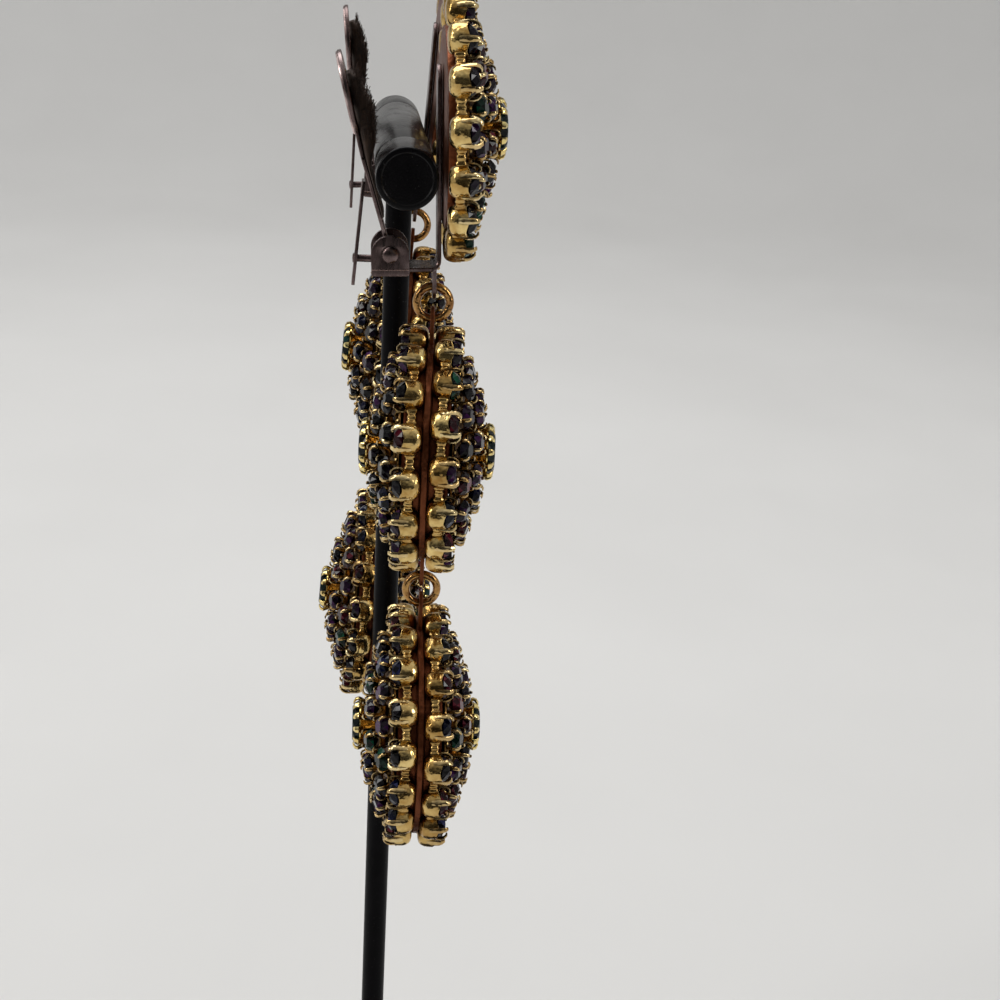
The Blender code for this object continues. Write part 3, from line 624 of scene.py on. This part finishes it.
def inner_rings(rng, metal, stones, place, widen):
    """Two rings of smaller cups that lean outward on the dished plate."""
    for ring in INNER_RINGS:
        cups = ring["cups"]
        radius = ring["radius"] * widen
        size = Matrix.Diagonal((ring["scale"], ring["scale"], ring["low"], 1.0))
        base = ring["top"] - 3.5 * ring["low"]
        gap = 2 * radius * sin(pi / cups) - 2 * CUP_RADIUS * ring["scale"]
        bar = bar_shape(gap + 1.3, 0.24, 0.36, 2)
        for index in range(cups):
            around = turned(ring["turn"] + 360 * index / cups, "Z")
            lean = ring["tilt"] + rng.uniform(-2, 2)
            wobble = turned(lean, "Y") @ turned(rng.uniform(-4, 4), "Z")
            spot = place @ around @ at(radius, 0, base) @ wobble @ size
            metal.join(INNER_CUP, spot, worn_tints(rng.uniform(0.72, 1.12), INNER_CUP.tints))
            colour = stone_colour(rng)
            spun = spot @ turned(rng.uniform(0, 45), "Z")
            stones.join(SMALL_STONE, spun, painted_glint_tints(rng, len(SMALL_STONE.faces), colour))
            middle = turned(ring["turn"] + 360 * (index + 0.5) / cups, "Z")
            height = base + 0.8 * ring["low"]
            metal.join(bar, place @ middle @ at(radius * cos(pi / cups), 0, height))


def dished_plate(edge):
    """Plate under the inner rings, with a beaded edge, in the tiers' place."""
    profile = (
        (0.0, 4.7), (3.2, 4.75), (5.0, 4.55), (7.4, 3.95), (9.6, 3.55), (edge - 0.35, 3.5),
        (edge - 0.05, 3.4), (edge, 3.2), (edge - 0.2, 3.08), (8.0, 3.05), (0.0, 3.05),
    )
    made = Shape().add(*lathe(profile, 96), tint=(0.62, 0.5, 0.42))
    wall = ((4.15, 5.35), (4.3, 5.5), (4.45, 5.35), (4.45, 4.4), (4.3, 4.3), (4.15, 4.4), (4.15, 5.35))
    made.add(*lathe(wall, 48), tint=(0.8, 0.7, 0.6))
    bead = lathe(((0.0, 0.24), (0.17, 0.17), (0.24, 0.0), (0.17, -0.17), (0.0, -0.24)), 8)
    beads = 64
    for index in range(beads):
        made.add(*bead, place=turned(360 * index / beads, "Z") @ at(edge - 0.1, 0, 3.5))
    return made


def middle_setting():
    """Flared setting with twelve claws, and its stone."""
    metal = Shape()
    profile = (
        (0.0, 5.5), (1.8, 5.5), (2.05, 5.62), (2.35, 6.2), (2.85, 6.95), (3.2, 7.35), (3.35, 7.55),
        (3.3, 7.7), (3.1, 7.62), (2.9, 7.3), (0.0, 7.0),
    )
    metal.add(*lathe(profile, 48))
    claws = 12
    path = (
        (1.9, 5.55), (2.3, 6.1), (2.85, 6.85), (3.28, 7.4), (3.48, 7.85), (3.38, 8.2), (3.05, 8.42),
        (2.7, 8.5),
    )
    sections = (
        (0.30, 0.14), (0.36, 0.2), (0.42, 0.24), (0.46, 0.25), (0.46, 0.24), (0.4, 0.2), (0.3, 0.15),
        (0.16, 0.08),
    )
    line = [(radius, 0.0, height) for radius, height in path]
    for index in range(claws):
        place = turned(360 * (index + 0.5) / claws, "Z")
        metal.add(*swept(line, sections, (0, 1, 0)), tint=CLAW_TINT, place=place)
    girdle = {"radius": 3.12, "height": 7.72}
    crown = {"radius": 2.82, "height": 8.24}
    table = {"radius": 2.3, "height": 8.66}
    return metal, stone_shape(10, girdle, crown, table, 6.9)


MIDDLE_SETTING, MIDDLE_STONE = middle_setting()


def make_half(prefix, body, cluster, place, turn, sink, seed):
    """One domed half, with each CAD node's settings and stones as objects of their own."""
    rng = random.Random(seed)
    metal, stones = Shape(), Shape()
    outer_ring(cluster, turn, rng, metal, stones, place)
    metal.finished(prefix + "_outer_settings", body, "antique_gold", GOLD, (prefix + "_stones",))
    stones.finished(prefix + "_outer_stones", body, "amethyst_stones", STONE, (), 0)

    lowered = place @ at(0, 0, -sink)
    widen = (cluster["radius"] - 2 * CUP_RADIUS) / (CLUSTER["radius"] - 2 * CUP_RADIUS)
    metal, stones = Shape(), Shape()
    inner_rings(rng, metal, stones, lowered, widen)
    metal.join(dished_plate(cluster["radius"] - 2 * CUP_RADIUS - 0.1), lowered)
    metal.finished(prefix + "_inner_settings", body, "antique_gold", GOLD, (prefix + "_tiers",))
    stones.finished(prefix + "_inner_stones", body, "amethyst_stones", STONE, (), 0)

    spun = lowered @ turned(rng.uniform(-6, 6), "Z")
    setting = Shape().join(MIDDLE_SETTING, spun)
    setting.finished(prefix + "_middle_setting", body, "antique_gold", CENTRE_GOLD, (prefix + "_centre",))
    dark = (0.003, 0.012, 0.011)
    stone = Shape().join(MIDDLE_STONE, spun, painted_glint_tints(rng, len(MIDDLE_STONE.faces), dark))
    stone.finished(prefix + "_middle_stone", body, "dark_stone", CENTRE_STONE, (), 0)


# Backs, hanging strips and jump rings

def strip_loops(root, hole, direction):
    """Outline of a hanging strip with a round end, and its hole, in the plane of X and Z."""
    half = STRIP_WIDTH / 2
    start = 0 if direction > 0 else 180
    turns = [radians(degrees) for degrees in range(start, start + 181, 10)]
    outline = [(half * cos(turn), hole + STRIP_END * sin(turn)) for turn in turns]
    outline += [(-direction * half, root), (direction * half, root)]
    return [outline, [(0.92 * x, hole + 0.97 * y) for x, y in arc((0, 0), 1.0, 0, 345, 23)]]


def mirrored(profile):
    """Half profile together with its mirror image below."""
    return profile + tuple((radius, -height) for radius, height in reversed(profile))


def make_core(prefix, body, cluster, place, tabs):
    """Drum with a groove, the ribbed wall behind the cups, and the hanging strips."""
    radius = cluster["radius"] - 2 * CUP_RADIUS - FIT
    drum = (
        (0.0, DRUM_HALF), (radius - 0.5, DRUM_HALF), (radius - 0.12, DRUM_HALF - 0.1),
        (radius, DRUM_HALF - 0.4), (radius - 0.05, 1.4), (radius - 0.35, 0.95), (radius - 0.8, 0.62),
        (radius - 1.0, 0.45),
    )
    made = Shape()
    made.add(*lathe(mirrored(drum), 120), place=place @ FACING_FRONT, tint=(1.0, 0.9, 0.9))
    wide = cluster["radius"] - WALL_BEHIND_CUPS
    wall = (
        (0.0, 2.35), (wide - 0.25, 2.35), (wide - 0.07, 2.28), (wide, 2.1), (wide, 0.62),
        (wide + 0.1, 0.48), (wide + 0.65, 0.42), (wide + 0.78, 0.32), (wide + 0.8, 0.15),
    )
    made.add(*lathe(mirrored(wall), 120), place=place @ FACING_FRONT)
    for hole, direction in tabs:
        root = direction * (radius - 1.5)
        made.add(*plate(strip_loops(root, hole, direction), STRIP, 0.09, place @ UPRIGHT))
    if len(tabs) == 1:
        low = -cluster["radius"] + 0.7
        start = 1.0 - wide
        end = [(-1.4, start), (-1.4, low + 0.5), (-0.9, low), (0.9, low), (1.4, low + 0.5), (1.4, start)]
        made.add(*plate([end], STRIP, 0.09, place @ UPRIGHT))
    made.finished(prefix + "_back_plates", body, "brown_gold", BROWN_GOLD, (prefix + "_core",))


def make_link(name, body, place):
    """Jump ring of thick wire with a fine joint in it."""
    rings, sides = 64, 16
    points = []
    for index in range(rings + 1):
        turn = radians(200 + 357.5 * index / rings)
        for step in range(sides):
            around = 2 * pi * step / sides
            wire = LINK_WIRE * (1.0 - 0.06 * cos(2 * around))
            reach = LINK_RADIUS + wire * cos(around)
            points.append((wire * sin(around), reach * cos(turn), reach * sin(turn) - LINK_RADIUS))
    made = Shape().add(points, bar_faces(rings + 1, sides), place=place)
    made.finished(name + "_ring", body, "brown_gold", LINK_GOLD, (name,))


# Clip

def make_clip_base(name, clip, depth):
    """Back plate that curls into the hinge box's floor, the cheeks and the hanging strip."""
    body = "stand_and_clips"
    made = Shape()
    floor = -depth - FLOOR_DEPTH
    top = PLATE_RISE - depth
    path = []
    widths = []
    for step in range(9):
        turn = pi / 2 * step / 8
        path.append((-HANG_FRONT, top - 2.0 + 2.0 * cos(turn)))
        widths.append(max(0.25, 2.0 * sin(turn)))
    path.append((-HANG_FRONT, top - 8.0))
    widths.append(2.0)
    path.append((-HANG_FRONT, floor + 3.4))
    widths.append(2.0)
    curl = arc((-HANG_FRONT + 1.0, floor + 1.0), 1.0, 180, 270, 8)
    path.extend(curl)
    widths.extend([2.0 + 0.5 * index / 8 for index in range(9)])
    path.extend(((-2.2, floor), (-1.8, floor), (0.9, floor)))
    widths.extend((2.55, 2.75, 2.75))
    made.add(*ribbon(path, widths, STRIP, 0.12), place=clip)
    strip = strip_loops(floor + 0.1, -depth - LINK_TOP_DEPTH, -1)
    made.add(*plate(strip, STRIP, 0.09, clip @ at(0, TAB_SET_BACK - HANG_FRONT, 0) @ UPRIGHT))
    for side in (-1, 1):
        low = -depth - CHEEK_DEPTH
        round_top = arc((PIN_BEHIND_BAR, -depth), CHEEK_RADIUS, 0, 180, 28)
        corner = 0.35
        left, right = PIN_BEHIND_BAR - CHEEK_RADIUS, PIN_BEHIND_BAR + CHEEK_RADIUS
        bottom = arc((left + corner, low + corner), corner, 180, 270, 5)
        bottom += arc((right - corner, low + corner), corner, 270, 360, 5)
        hole = arc((PIN_BEHIND_BAR, -depth), 0.8, 0, 345, 23)
        place = clip @ at(side * 2.55, 0, 0) @ SIDEWAYS
        made.add(*plate([round_top + bottom, hole], STRIP, 0.1, place))
        # Thin ledge along each cheek's foot, tinted over three times brighter: a painted highlight line
        painted_highlight_fold = [(side * 2.82, y, floor + 0.05) for y in (left + 0.05, PIN_BEHIND_BAR, right - 0.05)]
        made.add(*swept(painted_highlight_fold, ((0.07, 0.07),) * 3, (0, 0, 1)), tint=(3.4, 3.3, 3.1), place=clip)
        ring = lathe(((0.88, 0.0), (0.95, 0.07), (1.12, 0.07), (1.18, 0.0), (0.88, 0.0)), 32)
        around = clip @ at(side * 2.79, PIN_BEHIND_BAR, -depth) @ turned(90 * side, "Y")
        made.add(*ring, tint=(0.6, 0.6, 0.6), place=around)
    made.finished(name + "_clip_frame", body, "dark_steel", STEEL, (name + "_clip_base",))


def make_pin(name, clip, depth):
    head = (
        (0.0, 3.5), (0.35, 3.47), (0.7, 3.38), (0.92, 3.24), (1.0, 3.08), (0.95, 2.98), (0.62, 2.95),
        (0.6, 2.8), (0.6, -2.8), (0.62, -2.95), (0.95, -2.98), (1.0, -3.08), (0.92, -3.24), (0.7, -3.38),
        (0.35, -3.47), (0.0, -3.5),
    )
    place = clip @ at(0, PIN_BEHIND_BAR, -depth) @ ALONG_X
    made = Shape().add(*lathe(head, 32), place=place)
    made.finished(name + "_hinge_rivet", "stand_and_clips", "dark_steel", STEEL, (name + "_hinge_pin",))


def make_lever(name, hinge, paddle_bend):
    """Barrel, arm and pierced paddle with a raised rim, the rim tinted bright as a painted highlight."""
    body = name + "_lever"
    made = Shape()
    barrel = (
        (0.85, 2.0), (1.1, 2.05), (1.22, 1.98), (1.25, 1.85), (1.25, -1.85), (1.22, -1.98), (1.1, -2.05),
        (0.85, -2.0), (0.85, 2.0),
    )
    made.add(*lathe(barrel, 32), place=hinge @ ALONG_X)
    path = [(0.0, height) for height in (1.05, 2.5, 5.0, 8.0, 10.5)]
    widths = [1.7, 1.8, 1.95, 2.15, 2.25]
    for step in range(5):
        turn = paddle_bend * step / 4
        path.append((-BEND_RADIUS * (1 - cos(turn)), LEVER_ARM - 0.4 + BEND_RADIUS * sin(turn)))
        widths.append(ARM_HALF_WIDTH)
    made.add(*ribbon(path, widths, STRIP, 0.12), place=hinge)
    neck = asin(2 * ARM_HALF_WIDTH / PADDLE_WIDTH)
    middle = PADDLE_REACH - PADDLE_LENGTH / 2
    steps = 44
    turns = [neck - pi / 2 + (2 * pi - 2 * neck) * step / steps for step in range(steps + 1)]
    oval = [(PADDLE_WIDTH / 2 * cos(turn), middle + PADDLE_LENGTH / 2 * sin(turn)) for turn in turns]
    loops = [[(-ARM_HALF_WIDTH, -0.4), (ARM_HALF_WIDTH, -0.4)] + oval]
    for index in range(4):
        turn = 2 * pi * (index + 0.5) / 4
        spot = (2.9 * cos(turn), middle + 3.1 * sin(turn))
        loops.append(arc(spot, 0.9, 0, 345, 23))
    bend = at(0, 0, LEVER_ARM) @ Matrix.Rotation(paddle_bend, 4, "X")
    made.add(*plate(loops, STRIP, 0.12, hinge @ bend @ UPRIGHT))
    # Raised rim wire, tinted about 2.6 times brighter as a painted highlight
    painted_highlight_rim = [(x * 0.93, 0.0, middle + (y - middle) * 0.94) for x, y in oval]
    made.add(*tube(painted_highlight_rim, 0.2, 8), tint=(2.6, 2.7, 2.7), place=hinge @ bend @ at(0, 0.27, 0))
    made.finished(name + "_lever_plate", body, "dark_steel", STEEL, (name + "_lever",))


def tube(line, radius, sides):
    """Round wire through points, closed at both ends."""
    line = [Vector(point) for point in line]
    points = []
    for index, spot in enumerate(line):
        along = (line[min(index + 1, len(line) - 1)] - line[max(index - 1, 0)]).normalized()
        across = along.cross(Vector((0, 1, 0)))
        if across.length < 0.01:
            across = along.cross(Vector((1, 0, 0)))
        across.normalize()
        other = along.cross(across)
        for step in range(sides):
            turn = 2 * pi * step / sides
            points.append(tuple(spot + radius * (across * cos(turn) + other * sin(turn))))
    return points, bar_faces(len(line), sides)


def pad_stand(along):
    """How far the cushion stands off the lever at a distance along it."""
    for (low, start), (high, end) in zip(PAD_ROWS, PAD_ROWS[1:]):
        if along <= high:
            return start + (end - start) * (along - low) / (high - low)
    return PAD_ROWS[-1][1]


def make_pad(name, hinge, paddle_bend, seed):
    """Felt cushion on the lever, thick at the paddle and thin where it bears on the bar."""
    def lever_face(along):
        return -STRIP / 2 / cos(paddle_bend) - max(0.0, along - LEVER_ARM) * tan(paddle_bend)

    body = name + "_lever"
    rng = random.Random(seed)
    rows, around = 72, 36
    points = []
    for row in range(rows + 1):
        along = PAD_LOW + (PAD_HIGH - PAD_LOW) * row / rows
        end = min(1.0, (row + 0.5) / 3.0, (rows - row + 0.5) / 3.0)
        face = lever_face(along)
        stand = pad_stand(along) * (0.6 + 0.4 * end)
        ragged = 0.22 * noise.noise(Vector((0.0, 3.1 * along, seed)))
        half = (PAD_HALF_WIDTH + ragged) * (0.86 + 0.14 * end)
        for step in range(around):
            turn = 2 * pi * step / around
            deep = sin(turn)
            x = half * signed_power(cos(turn), 0.55)
            y = face - stand / 2 - stand / 2 * signed_power(deep, 0.7)
            rough = 0.10 * noise.noise(Vector((2.4 * x, 2.4 * y, 0.8 * along + seed)))
            rough += 0.06 * noise.noise(Vector((7.0 * x, 7.0 * y, 2.0 * along)))
            lump = max(0.0, deep) * abs(rough) * min(1.0, stand)
            points.append((x * (1 + 0.03 * rough), y - lump, along))
    made = Shape().add(points, bar_faces(rows + 1, around), place=hinge)
    for _ in range(FIBRES):
        along = rng.uniform(13.0, 21.4)
        side = rng.choice((-1, 1))
        face = lever_face(along)
        stand = pad_stand(along)
        x = side * rng.uniform(2.2, PAD_HALF_WIDTH)
        low, high = (0.75, 1.0) if abs(x) < 3.0 else (0.05, 0.95)
        y = face - stand * rng.uniform(low, high)
        foot = Vector((x, y, along))
        out = Vector((side * rng.uniform(0.0, 0.5), -rng.uniform(0.1, 0.5), rng.uniform(-0.4, 0.9)))
        bend = Vector((rng.uniform(-0.2, 0.2), rng.uniform(-0.2, 0.1), rng.uniform(0.1, 0.5)))
        line = [foot, foot + out * 0.5, foot + out + bend * 0.5]
        made.add(*tube(line, rng.uniform(0.025, 0.05), 3), place=hinge)
    pad = made.finished(name + "_felt_cushion", body, "brown_cushion", FELT, (name + "_pad",), 60)


def make_spring(name, hinge):
    """Leaf spring outside the lever, with the peg that holds it."""
    body = name + "_lever"
    made = Shape()
    foot, top = Vector((5.45, -2.7)), Vector((0.72, 9.0))
    steps = 14
    path = [tuple(foot.lerp(top, step / steps)) for step in range(steps + 1)]
    widths = [1.05, 1.35] + [1.5] * (steps - 3) + [1.4, 1.2]
    made.add(*ribbon(path, widths, 0.4, 0.08), place=hinge)
    joint = foot + (top - foot).normalized() * 3.15
    peg = (
        (0.0, 2.75), (0.3, 2.72), (0.45, 2.6), (0.45, 0.1), (0.6, 0.0), (0.66, -0.18), (0.5, -0.36),
        (0.0, -0.42),
    )
    tilt = Matrix.Rotation(radians(17.5), 4, "X")
    along_peg = Matrix.Rotation(pi / 2, 4, "X")
    made.add(*lathe(peg, 24), place=hinge @ at(0, joint[0], joint[1]) @ tilt @ along_peg)
    made.finished(name + "_leaf_spring", body, "dark_steel", STEEL, (name + "_lever_spring",))


# Stand

def rounded(radius, top, edge, steps=6):
    """Profile points round an outer corner, from the flat top to the side."""
    return [(radius - edge + x, top - edge + y) for x, y in reversed(arc((0, 0), edge, 0, 90, steps))]


def make_stand():
    body = "stand_and_clips"
    foot = [(0.0, BASE_HEIGHT), (BASE_RADIUS - 2.4, BASE_HEIGHT), (BASE_RADIUS - 2.0, BASE_HEIGHT - 0.12)]
    foot += rounded(BASE_RADIUS, BASE_HEIGHT - 0.12, 1.2)
    foot += [(BASE_RADIUS, 0.9), (BASE_RADIUS - 0.25, 0.45), (BASE_RADIUS - 0.6, 0.3)]
    foot += [(BASE_RADIUS - 1.2, 0.0), (0.0, 0.0)]
    base = Shape().add(*lathe(foot, 160))
    base.finished("stand_round_base", body, "satin_black", BLACK, ("stand_base",))

    top = BAR_HEIGHT - ROD_TOP_BELOW_BAR
    rod = [(0.0, top), (ROD_RADIUS, top), (ROD_RADIUS, 6.6), (2.0, 6.3), (2.6, 5.9), (2.8, 5.5)]
    rod += [(2.8, BASE_HEIGHT), (0.0, BASE_HEIGHT)]
    upright = Shape().add(*lathe(rod, 64))
    upright.finished("stand_upright_rod", body, "satin_black", ROD_BLACK, ("stand_rod",))

    axis = at(0, 0, BAR_HEIGHT) @ ALONG_X
    half = BAR_LENGTH / 2 - BAR_CAP_LENGTH - 0.06
    side = rounded(BAR_RADIUS - 0.02, half, 0.18, 4)
    tube_line = [(0.0, half)] + side + [(r, -h) for r, h in reversed(side)] + [(0.0, -half)]
    Shape().add(*lathe(tube_line, 96), place=axis).finished(
        "stand_bar_tube", body, "satin_black", BLACK, ("stand_crossbar",)
    )
    outer = rounded(BAR_RADIUS, BAR_CAP_LENGTH, 0.3, 5)
    inner = [(r, BAR_CAP_LENGTH - h) for r, h in reversed(rounded(BAR_RADIUS, BAR_CAP_LENGTH, 0.18, 4))]
    end = [(0.0, BAR_CAP_LENGTH - 0.12), (BAR_RADIUS - 0.75, BAR_CAP_LENGTH - 0.12)]
    end.append((BAR_RADIUS - 0.6, BAR_CAP_LENGTH))
    cap = end + outer + inner + [(0.0, 0.0)]
    for earring in EARRINGS:
        sign = 1 if earring["side"] > 0 else -1
        place = at(0, 0, BAR_HEIGHT) @ turned(90 * sign, "Y") @ at(0, 0, BAR_LENGTH / 2 - BAR_CAP_LENGTH)
        name = "stand_bar_end_" + earring["name"]
        node = "stand_cap_" + earring["name"]
        Shape().add(*lathe(cap, 96), place=place).finished(name, body, "satin_black", BLACK, (node,))


def make_earring(earring, seed):
    name, depth = earring["name"], earring["depth"]
    clip = at(earring["side"], 0, BAR_HEIGHT) @ turned(earring["lean"], "X")
    make_clip_base(name, clip, depth)
    make_pin(name, clip, depth)
    lean = asin(LEVER_STAND_OFF / hypot(PIN_BEHIND_BAR, depth)) - atan2(PIN_BEHIND_BAR, depth)
    hinge = clip @ at(0, PIN_BEHIND_BAR, -depth) @ Matrix.Rotation(-lean, 4, "X")
    paddle_bend = radians(earring["bend"])
    make_lever(name, hinge, paddle_bend)
    make_pad(name, hinge, paddle_bend, seed)
    make_spring(name, hinge)

    top = clip @ at(0, -HANG_FRONT, TOP_CENTRE_RISE - depth)
    radius = CLUSTER["radius"] - 2 * CUP_RADIUS - FIT
    back = (
        (0.0, CUP_BACK), (radius - 0.4, CUP_BACK), (radius - 0.1, CUP_BACK + 0.1), (radius, CUP_BACK + 0.4),
        (radius, 2.0), (radius - 0.1, 2.28), (radius - 0.4, 2.35), (0.0, 2.35),
    )
    disc = Shape().add(*lathe(back, 120), place=top @ FACING_FRONT)
    body = "stand_and_clips"
    disc.finished(name + "_top_back_plate", body, "brown_gold", BROWN_GOLD, (name + "_top_plate",))
    make_half(name + "_top", body, CLUSTER, top @ FACING_FRONT, RING_TURN["top"], TOP_SINK, seed + 1)

    hook = clip @ Vector((0.0, TAB_SET_BACK - HANG_FRONT, -depth - LINK_TOP_DEPTH))
    upper = Matrix.Translation(hook) @ turned(earring["swing"], "X")
    middle_body, lower_body = name + "_middle", name + "_lower"
    make_link(name + "_upper_link", middle_body, upper)
    middle_height = -LINK_RADIUS - LINK_TO_MIDDLE
    middle = upper @ at(0, 0, middle_height) @ turned(earring["twist"], "Z")
    eyes = ((LINK_TO_MIDDLE - LINK_RADIUS, 1), (LINK_RADIUS - MIDDLE_TO_LINK, -1))
    make_core(middle_body, middle_body, CLUSTER, middle, eyes)

    lower = upper @ at(0, 0, middle_height + LINK_RADIUS - MIDDLE_TO_LINK)
    make_link(name + "_lower_link", lower_body, lower)
    drop = lower @ at(0, 0, -LINK_RADIUS - LINK_TO_LOWER)
    make_core(lower_body, lower_body, LOWER_CLUSTER, drop, ((LINK_TO_LOWER - LINK_RADIUS, 1),))
    for index, (half, facing) in enumerate((("front", FACING_FRONT), ("back", FACING_BACK))):
        prefix, turn = middle_body + "_" + half, RING_TURN["middle_" + half]
        make_half(prefix, middle_body, CLUSTER, middle @ facing, turn, 0.0, seed + 2 + index)
        prefix, turn = lower_body + "_" + half, RING_TURN["lower_" + half]
        make_half(prefix, lower_body, LOWER_CLUSTER, drop @ facing, turn, 0.0, seed + 4 + index)


def make_floor():
    """Pale floor that curves up into a backdrop behind the stand, open on the camera's side."""
    profile = [(0.0, 0.0), (0.25, 0.0), (0.5, 0.0), (0.8, 0.0)]
    profile += [(1.0 + x, 0.5 + y) for x, y in arc((0, 0), 0.5, 270, 340, 12)]
    profile.append((1.75, 1.6))
    points, faces = lathe(profile, 96)
    mesh = bpy.data.meshes.new("studio_floor")
    wall_start = 1.1
    wall_end = radians(120)
    below_base = 0.00002
    kept = []
    for face in faces:
        x = sum(points[index][0] for index in face) / len(face)
        y = sum(points[index][1] for index in face) / len(face)
        reach = max(hypot(points[index][0], points[index][1]) for index in face)
        if reach < wall_start or abs(atan2(y, x)) < wall_end:
            kept.append(face)
    mesh.from_pydata([(x, y, z - below_base) for x, y, z in points], [], kept)
    mesh.shade_smooth()
    tree = Tree("pale_floor")
    soft = tree.noise(6.0, 3.0)
    colour = tree.ramp(soft, ((0.3, (0.68, 0.675, 0.665)), (0.7, (0.71, 0.705, 0.695))))
    mesh.materials.append(tree.finish(Base_Color=colour, Roughness=tree.range(soft, 0.3, 0.7, 0.6, 0.7)))
    floor = bpy.data.objects.new("studio_floor", mesh)
    SCENE.collection.objects.link(floor)


def make_light(name, spot, target, size, power, colour=(1.0, 1.0, 1.0)):
    data = bpy.data.lights.new(name, "AREA")
    data.shape = "RECTANGLE"
    data.size, data.size_y = size
    data.energy = power
    data.color = colour
    light = bpy.data.objects.new(name, data)
    aim = (Vector(target) - Vector(spot)).to_track_quat("-Z", "Y")
    light.matrix_world = Matrix.Translation(spot) @ aim.to_matrix().to_4x4()
    SCENE.collection.objects.link(light)


def make_world():
    world = bpy.data.worlds.new("studio_light")
    SCENE.world = world
    world.use_nodes = True
    nodes, links = world.node_tree.nodes, world.node_tree.links
    background = nodes["Background"]
    coordinates = nodes.new("ShaderNodeTexCoord")
    along = nodes.new("ShaderNodeVectorMath")
    along.operation = "DOT_PRODUCT"
    along.inputs[1].default_value = (0.70, 0.0, 0.71)
    ramp = nodes.new("ShaderNodeValToRGB")
    share = nodes.new("ShaderNodeMapRange")
    share.inputs["From Min"].default_value = -1.0
    links.new(coordinates.outputs["Generated"], along.inputs[0])
    links.new(along.outputs["Value"], share.inputs["Value"])
    links.new(share.outputs["Result"], ramp.inputs["Fac"])
    links.new(ramp.outputs["Color"], background.inputs["Color"])
    stops = ((0.0, 0.03), (0.30, 0.045), (0.52, 0.36), (0.75, 0.75), (1.0, 0.9))
    for index, (position, value) in enumerate(stops):
        stop = ramp.color_ramp.elements[index] if index < 2 else ramp.color_ramp.elements.new(position)
        stop.position = position
        stop.color = (value, value * 0.998, value * 0.985, 1.0)
    background.inputs["Strength"].default_value = 0.70


def make_camera():
    """Camera fitted to the photograph: in line with the crossbar, from the left and above."""
    yaw, pitch, roll = radians(6.2), radians(20.1), radians(3.45)
    ahead = Vector((cos(yaw) * cos(pitch), -sin(yaw) * cos(pitch), -sin(pitch)))
    level = Vector((-sin(yaw), -cos(yaw), 0.0))
    above = level.cross(ahead)
    right = level * cos(roll) + above * sin(roll)
    top = above * cos(roll) - level * sin(roll)
    data = bpy.data.cameras.new("photo_camera")
    data.sensor_width = 36.0
    data.lens = 54.0
    data.clip_start = 0.01
    camera = bpy.data.objects.new("photo_camera", data)
    turn = Matrix((right, top, -ahead)).transposed().to_4x4()
    camera.matrix_world = Matrix.Translation((-0.2012, 0.00595, 0.20975)) @ turn
    SCENE.collection.objects.link(camera)
    SCENE.camera = camera


make_camera()
make_world()
make_floor()
make_light("light_above", (0.40, 0.16, 1.05), (0.40, 0.10, 0.0), (0.8, 1.0), 7.3)
make_light("light_left", (-0.20, 0.75, 0.60), MIDDLE_OF_ALL, (0.10, 0.5), 1.6, (1.0, 0.98, 0.95))
make_light("light_right", (-0.30, -0.75, 0.50), MIDDLE_OF_ALL, (0.10, 0.4), 1.4, (1.0, 0.99, 0.97))
make_stand()
for number, earring_place in enumerate(EARRINGS):
    make_earring(earring_place, 11 + 20 * number)
SCENE.view_settings.view_transform = "Standard"
